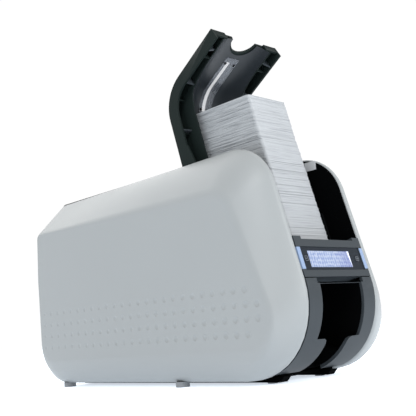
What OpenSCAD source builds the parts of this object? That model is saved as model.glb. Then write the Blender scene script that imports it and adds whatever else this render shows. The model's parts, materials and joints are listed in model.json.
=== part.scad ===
// Desktop plastic-card printer: two rounded side shells around a dark working bay.
// A tall card hopper with a hinged lid stands at the front, the finished cards drop into
// a bin under the display, and a rear cover lifts with the ribbon and the print head.
// Millimetres. X runs across, Y from the front (-) to the back (+), Z up. The origin is
// on the table, under the middle of the casing.

/* [Casing] */
// Length of the casing, front to back
body_len = 360; // [350:1:380]
// Height of the casing's top above the table
body_h = 211; // [207:1:222]
// Width over both side shells
body_w = 172; // [164:1:190]
// Width of the dark bay between the side shells
bay_w = 94; // [93:0.5:97]
// Wall of the side shells
shell_wall = 2.5; // [2:0.1:3.2]
// Thickness of the two side frames
frame_t = 3; // [2.5:0.1:4]
// Height of the rubber feet below the casing
foot_h = 4; // [3:0.5:6]
// Radius of each foot
foot_r = 6.5; // [5:0.5:8]
// Lean of the straight front from the vertical, in degrees
front_lean = 14.3; // [13:0.1:15.5]
// Radius of the nose, low on the front
nose_r = 66; // [62:1:68]
// Radius of the casing's top front corner
brow_r = 50; // [44:1:54]
// Radius of the lower rear corner
heel_r = 20; // [14:1:26]
// Height of the rounding along the lower edge of each shell
belly_h = 22; // [16:1:26]
// How much narrower each shell is at the front than at the back
taper = 8; // [4:0.5:10]
// Width of the rounding along the lower edge of each shell
belly_w = 24; // [16:1:28]

/* [Cards and hopper] */
// Length of a card
card_l = 85.6; // [84:0.1:87]
// Width of a card
card_w = 54; // [52:0.1:56]
// Thickness of a card
card_t = 0.76; // [0.7:0.01:0.8]
// Cards in the lower part of the stack, below the closed lid
cards_low = 100; // [80:1:112]
// Height that the stack stands up past the casing's top
cards_above = 55; // [10:1:58]
// Lean of the stack and of the open lid, in degrees
stack_lean = 14.4; // [13:0.1:15.5]
// Height of the hopper's floor above the table
hopper_z = 98.8; // [97:0.2:101]
// Side play of the cards in their guides
card_play = 0.6; // [0.4:0.1:1.2]
// Wall of the card guides
guide_t = 2.4; // [1.6:0.1:3]

/* [Hopper lid] */
// Skin of the hopper lid
lid_t = 2.5; // [1.8:0.1:3]
// Radius of the bend in the lid
lid_bend_r = 38.2; // [34:0.2:44]
// Lean of the lid's front from the vertical when shut, in degrees
lid_lean = 17.6; // [16.5:0.1:18.5]
// Depth of the lid below the casing's top
lid_sink = 2.7; // [2:0.1:4]
// Radius of the lid's hinge pins
pin_r = 2.5; // [2:0.1:3]
// Width of the finger notch in the lid's end
notch_w = 34; // [26:1:38]

/* [Display panel] */
// Height of the display panel's top above the table
panel_z = 123.25; // [121.5:0.25:125]
// Height of the display panel along its slope
panel_h = 37.2; // [35:0.2:39]
// Depth of the display panel
panel_d = 14; // [12:0.2:14.6]
// Width of the lit display
lcd_w = 58.6; // [50:0.2:62]
// Height of the lit display
lcd_h = 14.9; // [12:0.1:17]
// Width of each lit key
key_w = 4.4; // [3.6:0.1:4.6]
// Height of each lit key
key_h = 19.7; // [14:0.1:22]
// Travel of the keys
key_travel = 1; // [0.6:0.1:1.5]

/* [Output bin] */
// Half width of the output bin
bin_half = 29.7; // [29:0.1:32]
// Half width of the finger gap between the bin's lips
gap_half = 15; // [12:0.5:18]
// Height of the bin's lips above the table
lip_z = 35.5; // [30:0.5:42]
// Wall of the output bin
bin_t = 2; // [1.6:0.1:2.6]

/* [Print unit] */
// Radius of the platen and feed rollers
roller_r = 6; // [5.4:0.1:6.4]
// Radius of the roller shafts
shaft_r = 3; // [2.5:0.1:3.4]
// Radius of the upper pinch rollers
pinch_r = 4; // [3.4:0.1:4.2]
// Radius of the belt pulleys
pulley_r = 8; // [7:0.2:9]
// Teeth of the platen gear
platen_teeth = 45; // [40:1:50]
// Teeth of the motor pinion
pinion_teeth = 18; // [17:1:22]
// Tooth module of the feed gears
feed_module = 0.9; // [0.8:0.05:1]
// Radius of the full ribbon roll
roll_r = 17; // [13:0.5:18]
// Width of the ribbon
ribbon_w = 60; // [56:1:61]

/* [Fits] */
// Running clearance of shafts in their bores, on the radius
run_gap = 0.05; // [0.03:0.01:0.09]
// Gap between moving pieces and their neighbours
gap = 0.4; // [0.3:0.05:0.6]
// Assembly clearance of fixed pieces
fit = 0.1; // [0.05:0.05:0.2]

/* [Hidden] */
$fn = 64;
eps = 0.01;

// Casing outline: five circles [y, z, r], anticlockwise, seen along X.
hb = bay_w / 2;
y_front = -body_len / 2;
y_back = body_len / 2;
side_d = (body_w - bay_w) / 2;
frame_out = hb + frame_t;
front_k = -cos(front_lean) * (y_front + nose_r) + sin(front_lean) * (foot_h + nose_r) + nose_r;
brow_z = body_h - brow_r;
brow_y = (sin(front_lean) * brow_z + brow_r - front_k) / cos(front_lean);
rump_r = 60;
rump_z = foot_h + 116;
crown_r = 8;
outline = [[y_front + nose_r, foot_h + nose_r, nose_r],
    [y_back - 2 - heel_r, foot_h + heel_r, heel_r],
    [y_back - rump_r, rump_z, rump_r],
    [y_back - 1.5 - crown_r, body_h - crown_r, crown_r],
    [brow_y, brow_z, brow_r]];
// The flat outer face of a shell is the same figure, drawn in by the bevels. It leans in by
// the taper, from its back edge at face_y to the front.
face_nose_r = 29;
face_heel_r = 24;
face_rump_r = 30;
face_crown_r = 6;
face_brow_r = 25;
face_in = 17;
face_drop = 3;
face_y = y_back - 8;
lean_in = taper / (face_y - y_front - face_in);
face = [[y_front + face_in + face_nose_r, foot_h + belly_h + face_nose_r, face_nose_r],
    [y_back - 2 - face_heel_r, foot_h + belly_h + face_heel_r, face_heel_r],
    [y_back - 0.5 - face_rump_r, rump_z, face_rump_r],
    [y_back - 3 - face_crown_r, body_h - side_d - face_crown_r, face_crown_r],
    [brow_y + 3.5, body_h - side_d - face_drop - face_brow_r, face_brow_r]];
// Sections of a shell, from the bay (0) to the outer face (1).
belly_start = max(0.05, 1 - belly_w / side_d);
rim_r = 1.6;
rim_step = 0.06;
mouth_draft = 0.02;
shell_steps = [rim_step, 0.15, 0.27, 0.4, 0.52, 0.64, 0.75, 0.85, 0.93, 0.98, 1];
bosses = [[y_front + 50, foot_h + 50], [y_front + 62, body_h - 70],
    [y_back - 32, body_h - 62], [y_back - 34, foot_h + 38]];
boss_r = 4;
screw_r = 1.5;
screw_head_r = 2.8;
screw_head_h = 1.4;
feet = [[64, y_front + 146], [64, y_back - 24]];
foot_sink = 1;
pad_y = y_front + 62;
pad_r = 4.5;

// Front line and display panel. The panel's own frame has its origin on the front's top edge.
trim_in = 0.8;
trim_t = 3;
bar_in = 1.3;
bar_h = 5;
function front_y(z) = (sin(front_lean) * z - front_k) / cos(front_lean);
panel_y = front_y(panel_z) + trim_in / cos(front_lean);
ear_w = 10;
ear_h = 2.9;
panel_half = hb - gap + 0.1;
window_half = 41.5;
band_top = 10;
band_h = 21;
window_t = 1.5;
window_in = 0.6;
lcd_x = -3.7;
lcd_v = band_top + band_h / 2 + 0.35;
key_x = hb - gap - key_w / 2;
key_deep = 4.2;
stem_r = 1.5;
board_t = 1.6;

// Card stack and hopper.
lean_t = tan(stack_lean);
stack_y = y_front + 23.6;
stack_rear = stack_y + card_l;
split_z = hopper_z + cards_low * card_t;
stack_top = body_h + cards_above;
guide_top = hopper_z + 51;
rear_guide_top = hopper_z + 80;
front_guide_top = hopper_z + 18;
guide_in = card_w / 2 + card_play;
cradle_t = 2.5;
function stack_at(z) = (z - hopper_z) * lean_t;

// Hopper lid, drawn shut and then turned open about its pins.
lid_z = body_h - lid_sink;
lid_x = hb - 0.5;
lid_wall = 2.2;
pin_drop = 8.4;
hinge_z = lid_z - pin_drop;
hinge_y = stack_rear + stack_at(hinge_z) - 2.9;
tail_y = hinge_y + 10.8;
tail_r = norm([tail_y - hinge_y, pin_drop]);
tip_z = panel_z + gap + 0.25;
tip_y = front_y(tip_z) + 1;
lid_turn = 90 - lid_lean;
bend_c = [tip_y + (lid_z - tip_z) * tan(lid_lean) + lid_bend_r * tan(lid_turn / 2), lid_z - lid_bend_r];
lid_open = 90 + stack_lean;
ear_r = 8.2;
rail_x = 33;
rail_t = 1.3;
rail_h = 9.5;
flange_x = 28;
flange_h = 8;
slot_half = 3.3;
insert_half = 8.5;

// Bridge and rear cover.
bridge_y0 = tail_y + 0.5;
bridge_y1 = hinge_y + 42.3;
cover_y0 = bridge_y1 + 0.7;
cover_t = 2.5;
cover_x = hb - gap;
cover_wall = 2;
cover_pin = [y_back - 17, lid_z - pin_drop];
cover_y1 = cover_pin[0] + 8.5;
cover_r = norm([cover_y1 - cover_pin[0], pin_drop]);

// Card path. The hopper's bottom card drops to the feed plane behind the stack.
plane_z = hopper_z - 7.8;
exit_z = plane_z - 8;
low_z = plane_z - roller_r;
eject_r = 5;
clean_r = 5;
pick_r = 7;
front_feed = [stack_rear + 42.8, low_z];
platen = [stack_rear + 130.8, low_z];
rear_feed = [stack_rear + 180.8, low_z];
pick = [stack_rear - 24.2, hopper_z - 0.3 - pick_r];
eject = [stack_rear + 4.8, exit_z - eject_r];
front_pinch = [front_feed[0], plane_z + 0.3 + pinch_r];
eject_pinch = [eject[0], exit_z + 0.3 + pinch_r];
cleaner = [stack_rear + 64.8, plane_z + 0.3 + clean_r];
gate = [stack_rear + 30.8, plane_z + 3.5];
pinch_shaft = 2;
gate_shaft = 1.5;
roller_half = 38;
bush_r = shaft_r + 1.5;
driven = [front_feed, platen, rear_feed, pick, eject];
idlers = [front_pinch, eject_pinch, cleaner];

// Feed drive, outside the right frame: a gear pair and three belts in two planes.
bush_lip = 1;
gear_x = frame_out + bush_lip + 0.5;
gear_w = 4;
belt_w = 5;
belt_pitch = belt_w + 1;
belt_x = [gear_x + gear_w + 0.6, gear_x + gear_w + 0.6 + belt_pitch];
belt_t = 1.2;
belt_gap = 0.08;
feed_mesh = feed_module * (platen_teeth + pinion_teeth) / 2 + 0.05;
motor = [platen[0], platen[1] - feed_mesh];
motor_side = 35;
motor_len = 34;
motor_shaft = 2.5;

// Print unit, hung from the rear cover.
takeup = [platen[0] - 33, lid_z - 43.3];
supply = [platen[0] + 37, lid_z - 43.3];
spool_hub = 4;
spool_core = 6;
spool_flange = 16;
cheek_x = ribbon_w / 2 + 4;
cheek_t = 2.5;
cheek_rim = 4;
ribbon_module = 0.8;
takeup_teeth = 60;
ribbon_pinion_teeth = 28;
ribbon_mesh = ribbon_module * (takeup_teeth + ribbon_pinion_teeth) / 2 + 0.05;
ribbon_mesh_angle = 12;
ribbon_axle = [takeup[0] + ribbon_mesh * cos(ribbon_mesh_angle),
    takeup[1] + ribbon_mesh * sin(ribbon_mesh_angle)];
ribbon_gear_x = cheek_x + cheek_t + 1.2;
ribbon_gear_w = 3.6;
guide_rod = 2.5;
rod_z = plane_z + 6;
rods = [[platen[0] - 17, rod_z], [platen[0] + 17, rod_z]];
film_t = 0.2;
film_slack = 0.25;
film_z = plane_z + 1.1;
head_pivot = [platen[0] + 23, plane_z + 27];
pivot_r = 2;
arm_x0 = 38;
arm_x1 = 41.6;
head_z = film_z + film_t + 0.25;
head_top = head_z + 10.6;
plate_t = 3;
spring_top = head_top + plate_t + 26;
spring_x = 18;

// Rear wall, board, fan and switch.
rear_t = 2.5;
tray_t = 3;
runner_x = 33;
runner_w = 10;
runner_z = 1;
board_z = foot_h + 17;
fan_c = [0, foot_h + 76];
fan_side = 40;
fan_y0 = y_back - 15.5;
fan_y1 = y_back - 5.5;
guide_end = fan_y0 - 14.5;
switch_c = [-31, y_back - 7.5, foot_h + 106];
switch_r = 7;
switch_w = 11;
jack_x = 30;
usb_x = 8;
net_x = -17;
port_y0 = y_back - 17;
port_y1 = y_back - 2.6;

ports = [[jack_x, 9, 11], [usb_x, 12, 11], [net_x, 16, 13.5]];
port_z = board_z + board_t;
board_y0 = y_back - 118;
board_posts = [[-37, board_y0 + 5], [37, board_y0 + 5], [-37, board_y0 + 90], [37, board_y0 + 90]];
runner_y0 = y_front + 49;
bezel_top = panel_z - panel_h * cos(front_lean) - trim_t * sin(front_lean) - fit;
bin_y1 = stack_rear - 1.2;
bin_top = panel_z - panel_h * cos(front_lean) - panel_d * sin(front_lean) - fit;
gap_y = y_front + 52;
roller_slot = 12;
film_roll = 11;
key_v = band_top + band_h / 2 - 0.25;
ties = [[stack_rear + 20, exit_z - 24], [y_back - 34, hopper_z + 34]];
function bin_floor(y) = foot_h + 18 + (y - y_front - 20) * 0.256;
function lcd_span(d) = [lcd_x - lcd_w / 2 - d, lcd_x + lcd_w / 2 + d];
function lcd_rows(d) = [lcd_v - lcd_h / 2 - d, lcd_v + lcd_h / 2 + d];

// Outline helpers. Points run along the circles and jump the common tangents.
function mix(a, b, t) = a + (b - a) * t;
function normal_angle(a, b) = atan2(b[1] - a[1], b[0] - a[0])
    - acos((a[2] - b[2]) / norm([b[0] - a[0], b[1] - a[1]]));
function arc(c, r, a0, a1) = let (n = max(2, ceil((a1 - a0) / 5)))
    [for (k = [0:n]) [c[0] + r * cos(a0 + (a1 - a0) * k / n), c[1] + r * sin(a0 + (a1 - a0) * k / n)]];
function ring(circles, inset) = let (n = len(circles)) [for (i = [0:n - 1])
    let (c = circles[i], a = normal_angle(circles[(i + n - 1) % n], c),
        b = normal_angle(c, circles[(i + 1) % n]), turn = b < a ? b + 360 : b)
    each arc(c, c[2] - inset, a, turn)];
function belly(s) = s <= belly_start ? 0 : 1 - sqrt(max(0, 1 - pow((s - belly_start) / (1 - belly_start), 2)));
// The nose draws in at the front first, and at the bottom only with the belly.
function nose(s) = let (w = pow(s, 1.5), b = belly(s), r = mix(nose_r, face_nose_r, (w + b) / 2))
    [mix(y_front, y_front + face_in, w) + r, mix(foot_h, foot_h + belly_h, b) + r, r];
function drawn(step) = max(0, step - rim_step) / (1 - rim_step);
function section(s) = [nose(s), mix(outline[1], face[1], belly(s)), mix(outline[2], face[2], s),
    mix(outline[3], face[3], s), mix(outline[4], face[4], pow(s, 1.6))];

// Extrudes a figure drawn in (y, z) from x0 to x1.
module across(x0, x1) translate([x0, 0, 0]) rotate([90, 0, 90]) linear_extrude(x1 - x0) children();
module both_sides() {
    children();
    mirror([1, 0, 0]) children();
}
// A cylinder along X, from x0 to x1, about the point p = [y, z].
module axle(p, r, x0, x1) translate([x0, p[0], p[1]]) rotate([0, 90, 0]) cylinder(r = r, h = x1 - x0);
module box(x, y, z) translate([x[0], y[0], z[0]]) cube([x[1] - x[0], y[1] - y[0], z[1] - z[0]]);
module area(y, z) translate([y[0], z[0]]) square([y[1] - y[0], z[1] - z[0]]);
module at(p) translate([p[0], p[1]]) children();
// Panel frame: x across, y up the slope from the panel's top edge, z out of the front.
module on_front() translate([0, panel_y, panel_z]) rotate([90 - front_lean, 0, 0]) children();
module panel_box(u, v, w) on_front() box(u, [-v[1], -v[0]], [-w[1], -w[0]]);
// A card-sized prism that leans with the stack.
module stack_block(x, z0, z1, fore, aft) across(-x, x)
    polygon([[stack_y + stack_at(z0) + fore, z0], [stack_rear + stack_at(z0) + aft, z0],
        [stack_rear + stack_at(z1) + aft, z1], [stack_y + stack_at(z1) + fore, z1]]);

// Involute gear figure: half a tooth's angle at radius r, then the teeth in turn.
function involute(a) = tan(a) * 180 / PI - a;
function half_tooth(r, n, m, play) = let (rp = m * n / 2, rb = rp * cos(20), rr = max(r, rb))
    90 / n - play / (2 * rp) * 180 / PI + involute(20) - involute(acos(rb / rr));
function tooth_radii(n, m) = let (rp = m * n / 2, rb = rp * cos(20), tip = rp + 0.92 * m)
    [rp - 1.2 * m, max(rb, rp - 0.9 * m), mix(rb, rp, 0.6), rp + 0.4 * m, tip];
module gear_figure(n, m, turn, play = 0.26) let (radii = tooth_radii(n, m)) rotate(turn)
    polygon([for (i = [0:n - 1]) each concat(
        [for (k = [0:4]) let (a = i * 360 / n - half_tooth(radii[k], n, m, play))
            [radii[k] * cos(a), radii[k] * sin(a)]],
        [for (k = [4:-1:0]) let (a = i * 360 / n + half_tooth(radii[k], n, m, play))
            [radii[k] * cos(a), radii[k] * sin(a)]])]);

// Lid figures, seen along X with the lid shut. Depth is measured in from the outer skin.
front_dir = [sin(lid_lean), cos(lid_lean)];
function lid_tip(depth, back) = [tip_y, tip_z] + depth * [cos(lid_lean), -sin(lid_lean)] + back * front_dir;
function lid_line(depth, back, end_y) = concat([[end_y, lid_z - depth]],
    arc(bend_c, lid_bend_r - depth, 90, 90 + lid_turn), [lid_tip(depth, back)]);
lid_ribs = [[lid_tip(0, 26), -lid_lean], [bend_c, 90 + lid_turn / 2], [[hinge_y - 46, lid_z], 90]];
function reversed(list) = [for (i = [len(list) - 1:-1:0]) list[i]];
module lid_band(d0, d1, back, end_y)
    polygon(concat(lid_line(d0, back, end_y), reversed(lid_line(d1, back, end_y))));
module opened() translate([0, hinge_y, hinge_z]) rotate([-lid_open, 0, 0])
    translate([0, -hinge_y, -hinge_z]) children();

// ---- Casing ----
// A slice leans in with the face as it nears it.
module slice(x, s, wall) multmatrix([[1, lean_in * s, 0, x - lean_in * s * face_y], [0, 1, 0, 0], [0, 0, 1, 0]])
    rotate([90, 0, 90]) linear_extrude(eps) polygon(ring(section(s), wall));
module shell_hull() hull() {
    slice(hb, 0, rim_r);
    for (k = shell_steps) slice(hb + k * (side_d - eps), drawn(k), 0);
}
// The hollow keeps the full outline as deep as the side frame that sits in it, and its mouth
// has a little draft.
module shell_hollow() hull() {
    slice(hb - 1, 0, shell_wall - mouth_draft);
    slice(frame_out, 0, shell_wall);
    for (k = shell_steps) if (k > rim_step) slice(hb + k * (side_d - shell_wall), drawn(k), shell_wall);
}
module side_shell() color("#c3c9cb") difference() {
    union() {
        difference() {
            shell_hull();
            shell_hollow();
        }
        for (p = bosses) axle(p, boss_r, frame_out, body_w / 2 - shell_wall + 0.5 - lean_in * (face_y - p[0]));
    }
    for (p = bosses) axle(p, screw_r - 0.2, frame_out - 1, frame_out + 14);
    for (p = feet) translate([p[0], p[1], -1]) cylinder(r = foot_r + fit, h = foot_h + foot_sink + 1);
}
module left_shell() mirror([1, 0, 0]) side_shell();
module right_shell() side_shell();

module side_frame() color("#15181a") difference() {
    across(hb, frame_out) polygon(ring(outline, shell_wall + fit));
    for (p = bosses) {
        axle(p, screw_r + 0.2, hb - 1, frame_out + 1);
        axle(p, screw_head_r + fit, hb - 1, hb + screw_head_h + fit);
    }
    for (p = driven) axle(p, bush_r + fit / 4, hb - 1, frame_out + 1);
    for (p = idlers) axle(p, pinch_shaft + run_gap, hb - 1, frame_out + 1);
    axle(gate, gate_shaft + run_gap, hb - 1, frame_out + 1);
    axle([hinge_y, hinge_z], pin_r + 0.01, hb - 1, frame_out + 1);
    axle(cover_pin, pin_r + 0.01, hb - 1, frame_out + 1);
}
module left_side_frame() mirror([1, 0, 0]) side_frame();
module right_side_frame() color("#15181a") difference() {
    side_frame();
    axle(motor, motor_shaft + 1.5, hb - 1, frame_out + 1);
}

module base_tray() color("#101213") difference() {
    union() {
        box([-hb, hb], [runner_y0 + 8, y_back - 15], [foot_h, foot_h + tray_t]);
        both_sides() across(runner_x - runner_w / 2, runner_x + runner_w / 2)
            polygon([[runner_y0, runner_z], [y_back - 14, runner_z], [y_back - 14, foot_h + 1],
                [runner_y0 - 5, foot_h + 2], [runner_y0 - 5, runner_z + 5]]);
        for (p = board_posts) translate([p[0], p[1], foot_h + tray_t - 0.5])
            cylinder(r = 3, h = board_z - foot_h - tray_t + 0.5);
    }
    for (p = board_posts) translate([p[0], p[1], foot_h + tray_t - 1]) cylinder(r = 1.3, h = 20);
}
module rubber_feet() color("#2b2e30") both_sides() {
    for (p = feet) translate([p[0], p[1], 0]) cylinder(r = foot_r, h = foot_h + foot_sink);
    translate([runner_x, pad_y, 0]) cylinder(r = pad_r, h = runner_z);
}

module front_bezel() color("#4d5255") {
    bezel_rails();
    across(-panel_half, panel_half) intersection() {
        difference() {
            polygon(ring(outline, trim_in + bar_in));
            polygon(ring(outline, trim_in + trim_t));
        }
        area([y_front - 1, 0], [bezel_top - bar_h, bezel_top]);
    }
}
module bezel_rails() difference() {
    across(-panel_half, panel_half) intersection() {
        difference() {
            polygon(ring(outline, trim_in));
            polygon(ring(outline, trim_in + trim_t));
        }
        area([y_front - 1, runner_y0 - 3], [runner_z + 4.5, bezel_top]);
    }
    translate([0, y_front - 1, 0]) rotate([90, 0, 180]) translate([0, 0, -1])
        linear_extrude(90) polygon(concat([[-bin_half, 200], [-bin_half, lip_z], [-gap_half - 4, lip_z - 0.3],
            [-gap_half - 1.2, lip_z - 1.6], [-gap_half, lip_z - 4.5], [-gap_half, -1]],
            [[gap_half, -1], [gap_half, lip_z - 4.5], [gap_half + 1.2, lip_z - 1.6],
            [gap_half + 4, lip_z - 0.3], [bin_half, lip_z], [bin_half, 200]]));
}

module output_tray() color("#0c0e0f") difference() {
    union() {
        across(-bin_half - bin_t, bin_half + bin_t) intersection() {
            polygon(ring(outline, trim_in + trim_t));
            polygon([[y_front - 10, bin_floor(y_front - 10) - bin_t], [bin_y1, bin_floor(bin_y1) - bin_t],
                [bin_y1, bin_top], [y_front - 10, bin_top]]);
        }
        // Walls of the finger gap, below the bin's floor.
        across(-gap_half - bin_t, gap_half + bin_t) intersection() {
            polygon(ring(outline, trim_in + trim_t));
            polygon([[y_front - 1, 0], [gap_y + bin_t, 0], [gap_y + bin_t, bin_floor(gap_y)],
                [y_front - 1, bin_floor(y_front - 1)]]);
        }
    }
    across(-bin_half, bin_half) polygon([[y_front - 11, bin_floor(y_front - 11)],
        [bin_y1 - bin_t, bin_floor(bin_y1 - bin_t)], [bin_y1 - bin_t, 200], [y_front - 11, 200]]);
    box([-gap_half, gap_half], [y_front - 10, gap_y], [0, lip_z + 20]);
    box([-bin_half, bin_half], [bin_y1 - 3, bin_y1 + 1], [exit_z - 2.5, 200]);
    box([-50, 50], [bin_y1 - 20, bin_y1 + 1], [exit_z - 2.5, 200]);
}

// ---- Display panel ----
module display_panel() color("#4a4f52") difference() {
    union() {
        panel_box([-panel_half, panel_half], [ear_h, panel_h], [0, panel_d]);
        both_sides() panel_box([panel_half - ear_w, panel_half], [0.15, ear_h + 1], [0, panel_d]);
    }
    panel_box([-window_half - 0.2, window_half + 0.2], [band_top - 0.2, band_top + band_h + 0.2],
        [-1, window_in + window_t]);
    panel_box(lcd_span(1), lcd_rows(1), [0, panel_d]);
    panel_box([-40.5, 40.5], [5, panel_h - 2.7], [4.5, panel_d + 1]);
    both_sides() panel_box([key_x - key_w / 2 - 0.3, panel_half + 1],
        [key_v - key_h / 2 - 0.3, key_v + key_h / 2 + 0.3], [-1, key_deep + key_travel + 1.3]);
    both_sides() on_front() translate([key_x - 0.2, -key_v, -panel_d - 1])
        cylinder(r = stem_r + run_gap, h = panel_d + 1);
}
module display_window() color([0.06, 0.08, 0.09, 0.8]) difference() {
    panel_box([-window_half, window_half], [band_top, band_top + band_h], [window_in, window_in + window_t]);
    panel_box(lcd_span(0.2), lcd_rows(0.2), [0, 5]);
}
module lcd_module() color("#a9bdf0") {
    panel_box(lcd_span(0), lcd_rows(0), [window_in + 0.3, 3]);
    panel_box(lcd_span(0.8), lcd_rows(0.8), [window_in + window_t + 0.05, 6.5]);
}
module display_board() color("#1f5a3a") difference() {
    panel_box([-38, 38], [7, panel_h - 4.5], [6.5, 6.5 + board_t]);
    both_sides() on_front() for (v = [9.5, panel_h - 7]) translate([36, -v, -9]) cylinder(r = 1.1, h = 4);
}
module panel_key() color("#9dbcf5") {
    panel_box([key_x - key_w / 2, key_x + key_w / 2],
        [key_v - key_h / 2, key_v + key_h / 2], [-0.3, key_deep]);
    on_front() translate([key_x - 0.2, -key_v, -panel_d + 3]) cylinder(r = stem_r, h = panel_d - 3 - key_deep + 0.5);
}
module left_key() mirror([1, 0, 0]) panel_key();
module right_key() panel_key();

// ---- Hopper and cards ----
module hopper_cradle() color("#141718") difference() {
    union() {
        box([-hb, hb], [stack_y - 3, stack_rear + 8], [hopper_z - cradle_t, hopper_z]);
        both_sides() intersection() {
            stack_block(guide_in + guide_t, hopper_z - 1, guide_top, 0, 0);
            box([guide_in, guide_in + guide_t], [-500, 500], [0, 500]);
        }
        stack_block(guide_in + guide_t, hopper_z - 1, rear_guide_top, card_l + card_play, card_play + guide_t);
        stack_block(guide_in + guide_t, hopper_z - 1, front_guide_top, -card_play - guide_t, -card_l - card_play);
    }
    box([-card_w / 2 - 1, card_w / 2 + 1], [stack_rear - 3, stack_rear + 7], [hopper_z, hopper_z + 1.9]);
    box([-roller_slot, roller_slot], [pick[0] - pick_r - 1.5, pick[0] + pick_r + 1.5],
        [hopper_z - cradle_t - 1, hopper_z + 0.01]);
}
module card_stack() color("#e9ebee") stack_block(card_w / 2, hopper_z, split_z, 0, 0);
module card_stack_upper() color("#e9ebee") stack_block(card_w / 2, split_z + 0.3, stack_top, 0, 0);

// ---- Hopper lid ----
module lid_skin() difference() {
    union() {
        across(-lid_x, lid_x) lid_band(0, lid_t, 1.6, tail_y);
        both_sides() across(flange_x, lid_x - lid_wall / 2) lid_band(0, lid_t, 0.1, tail_y);
        both_sides() {
            across(lid_x - lid_wall, lid_x) difference() {
                union() {
                    lid_band(0, 13, 0, hinge_y);
                    polygon([[hinge_y, lid_z], [hinge_y - 30, lid_z], [hinge_y - 30, lid_z - 14],
                        [hinge_y - 9, lid_z - 18.4], [hinge_y, lid_z - pin_drop]]);
                    at([hinge_y, hinge_z]) circle(ear_r);
                }
                at([hinge_y, hinge_z]) circle(pin_r + run_gap);
            }
            across(rail_x, rail_x + rail_t) lid_band(1, rail_h, 6, hinge_y - 14);
            across(flange_x, lid_x - lid_wall / 2)
                polygon([lid_tip(1, 0.2), lid_tip(flange_h, 0.2), lid_tip(flange_h, 2), lid_tip(1, 2)]);
            for (rib = lid_ribs) across(rail_x + rail_t / 2, lid_x - lid_wall / 2) intersection() {
                lid_band(1, 10, 0, hinge_y - 14);
                at(rib[0]) rotate(rib[1]) area([-40, 40], [-0.6, 0.6]);
            }
        }
    }
    // Finger notch in the free end, and the sight slot with its seat for the clear insert.
    notch_cut();
    across(-slot_half, slot_half) intersection() {
        lid_band(-1, lid_t + 1, 0, hinge_y);
        sight_zone(6);
    }
}
module notch_cut() translate([0, tip_y, tip_z]) rotate([90 - lid_lean, 0, 0])
    translate([0, -1.5, -20]) cylinder(r = notch_w / 2, h = 40);
module sight_zone(inset) difference() {
    polygon(concat([bend_c], arc(bend_c, 120, 113 + inset / 3, 90 + lid_turn), [lid_tip(-60, 0), lid_tip(60, 0)]));
    at(lid_tip(0, 0)) rotate(-lid_lean) area([-70, 70], [-20, 23 + inset]);
}
module hopper_lid() color("#23292a") opened() lid_skin();
module lid_window() color([0.85, 0.88, 0.9, 0.5]) opened() {
    across(-insert_half, insert_half) intersection() {
        lid_band(lid_t, lid_t + 1.5, 0, hinge_y);
        sight_zone(0);
    }
    across(-slot_half + fit, slot_half - fit) intersection() {
        lid_band(0.4, lid_t + 0.1, 0, hinge_y);
        sight_zone(6.3);
    }
}
module hinge_pins(p, end) color("#9aa0a4") both_sides() {
    axle(p, pin_r, end, frame_out);
    axle(p, pin_r + 1.5, end - 1.3, end + eps);
}
module lid_hinge_pins() hinge_pins([hinge_y, hinge_z], lid_x - lid_wall - gap);
module hinge_bridge() color("#1c2122") across(-hb, hb) difference() {
    union() {
        area([bridge_y0, bridge_y1], [lid_z - 3, lid_z]);
        area([hinge_y + 14.2, hinge_y + 17.2], [lid_z - 20, lid_z]);
        area([bridge_y1 - 3, bridge_y1], [lid_z - 15, lid_z]);
    }
    at([hinge_y, hinge_z]) circle(tail_r + 0.5);
}

// ---- Rear wall and electrics ----
module rear_panel() color("#1b1f21") difference() {
    union() {
        across(-hb, hb) intersection() {
            difference() {
                polygon(ring(outline, trim_in));
                polygon(ring(outline, trim_in + rear_t));
            }
            area([y_back - 14, y_back], [foot_h, lid_z]);
        }
        across(-hb, hb) area([cover_pin[0] + 9, y_back - 2], [lid_z - 3, lid_z]);
        for (dx = [-1, 1], dz = [-1, 1]) translate([fan_c[0] + 16 * dx, fan_y1, fan_c[1] + 16 * dz])
            rotate([-90, 0, 0]) cylinder(r = 3, h = 3);
        for (dx = [-1, 1]) across(switch_c[0] + dx * (switch_w / 2 + 2.2) - 1.4,
            switch_c[0] + dx * (switch_w / 2 + 2.2) + 1.4)
            area([switch_c[1] - 4, y_back - 2], [switch_c[2] - 4, switch_c[2] + 4]);
    }
    axle(cover_pin, cover_r + 0.5, -hb - 1, hb + 1);
    for (k = [-4:4]) let (h = 2 * sqrt(max(1, 17 * 17 - pow(k * 4, 2))) - 2)
        box([fan_c[0] + k * 4 - 1.2, fan_c[0] + k * 4 + 1.2], [fan_y1 + 0.1, y_back + 1],
            [fan_c[1] - h / 2, fan_c[1] + h / 2]);
    box([switch_c[0] - switch_w / 2 - gap, switch_c[0] + switch_w / 2 + gap],
        [y_back - 5, y_back + 1], [switch_c[2] - switch_r - gap, switch_c[2] + switch_r + gap]);
    axle([switch_c[1], switch_c[2]], 1.5 + run_gap, switch_c[0] - switch_w, switch_c[0] + switch_w);
    for (p = ports) box([p[0] - p[1] / 2 - fit, p[0] + p[1] / 2 + fit], [port_y0, y_back + 1],
        [port_z - fit, port_z + p[2] + fit]);
}
module cover_hinge_pins() hinge_pins(cover_pin, cover_x - cover_wall - gap);
module power_switch() color("#0e0f10") {
    intersection() {
        axle([switch_c[1], switch_c[2]], switch_r, switch_c[0] - switch_w / 2, switch_c[0] + switch_w / 2);
        across(switch_c[0] - switch_w / 2, switch_c[0] + switch_w / 2) at([switch_c[1], switch_c[2]])
            polygon([[-3, -8], [7.5, -8], [5.6, -2], [5.6, 0], [8, 8], [-3, 8]]);
    }
    axle([switch_c[1], switch_c[2]], 1.5, switch_c[0] - switch_w / 2 - 2.8, switch_c[0] + switch_w / 2 + 2.8);
}
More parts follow.
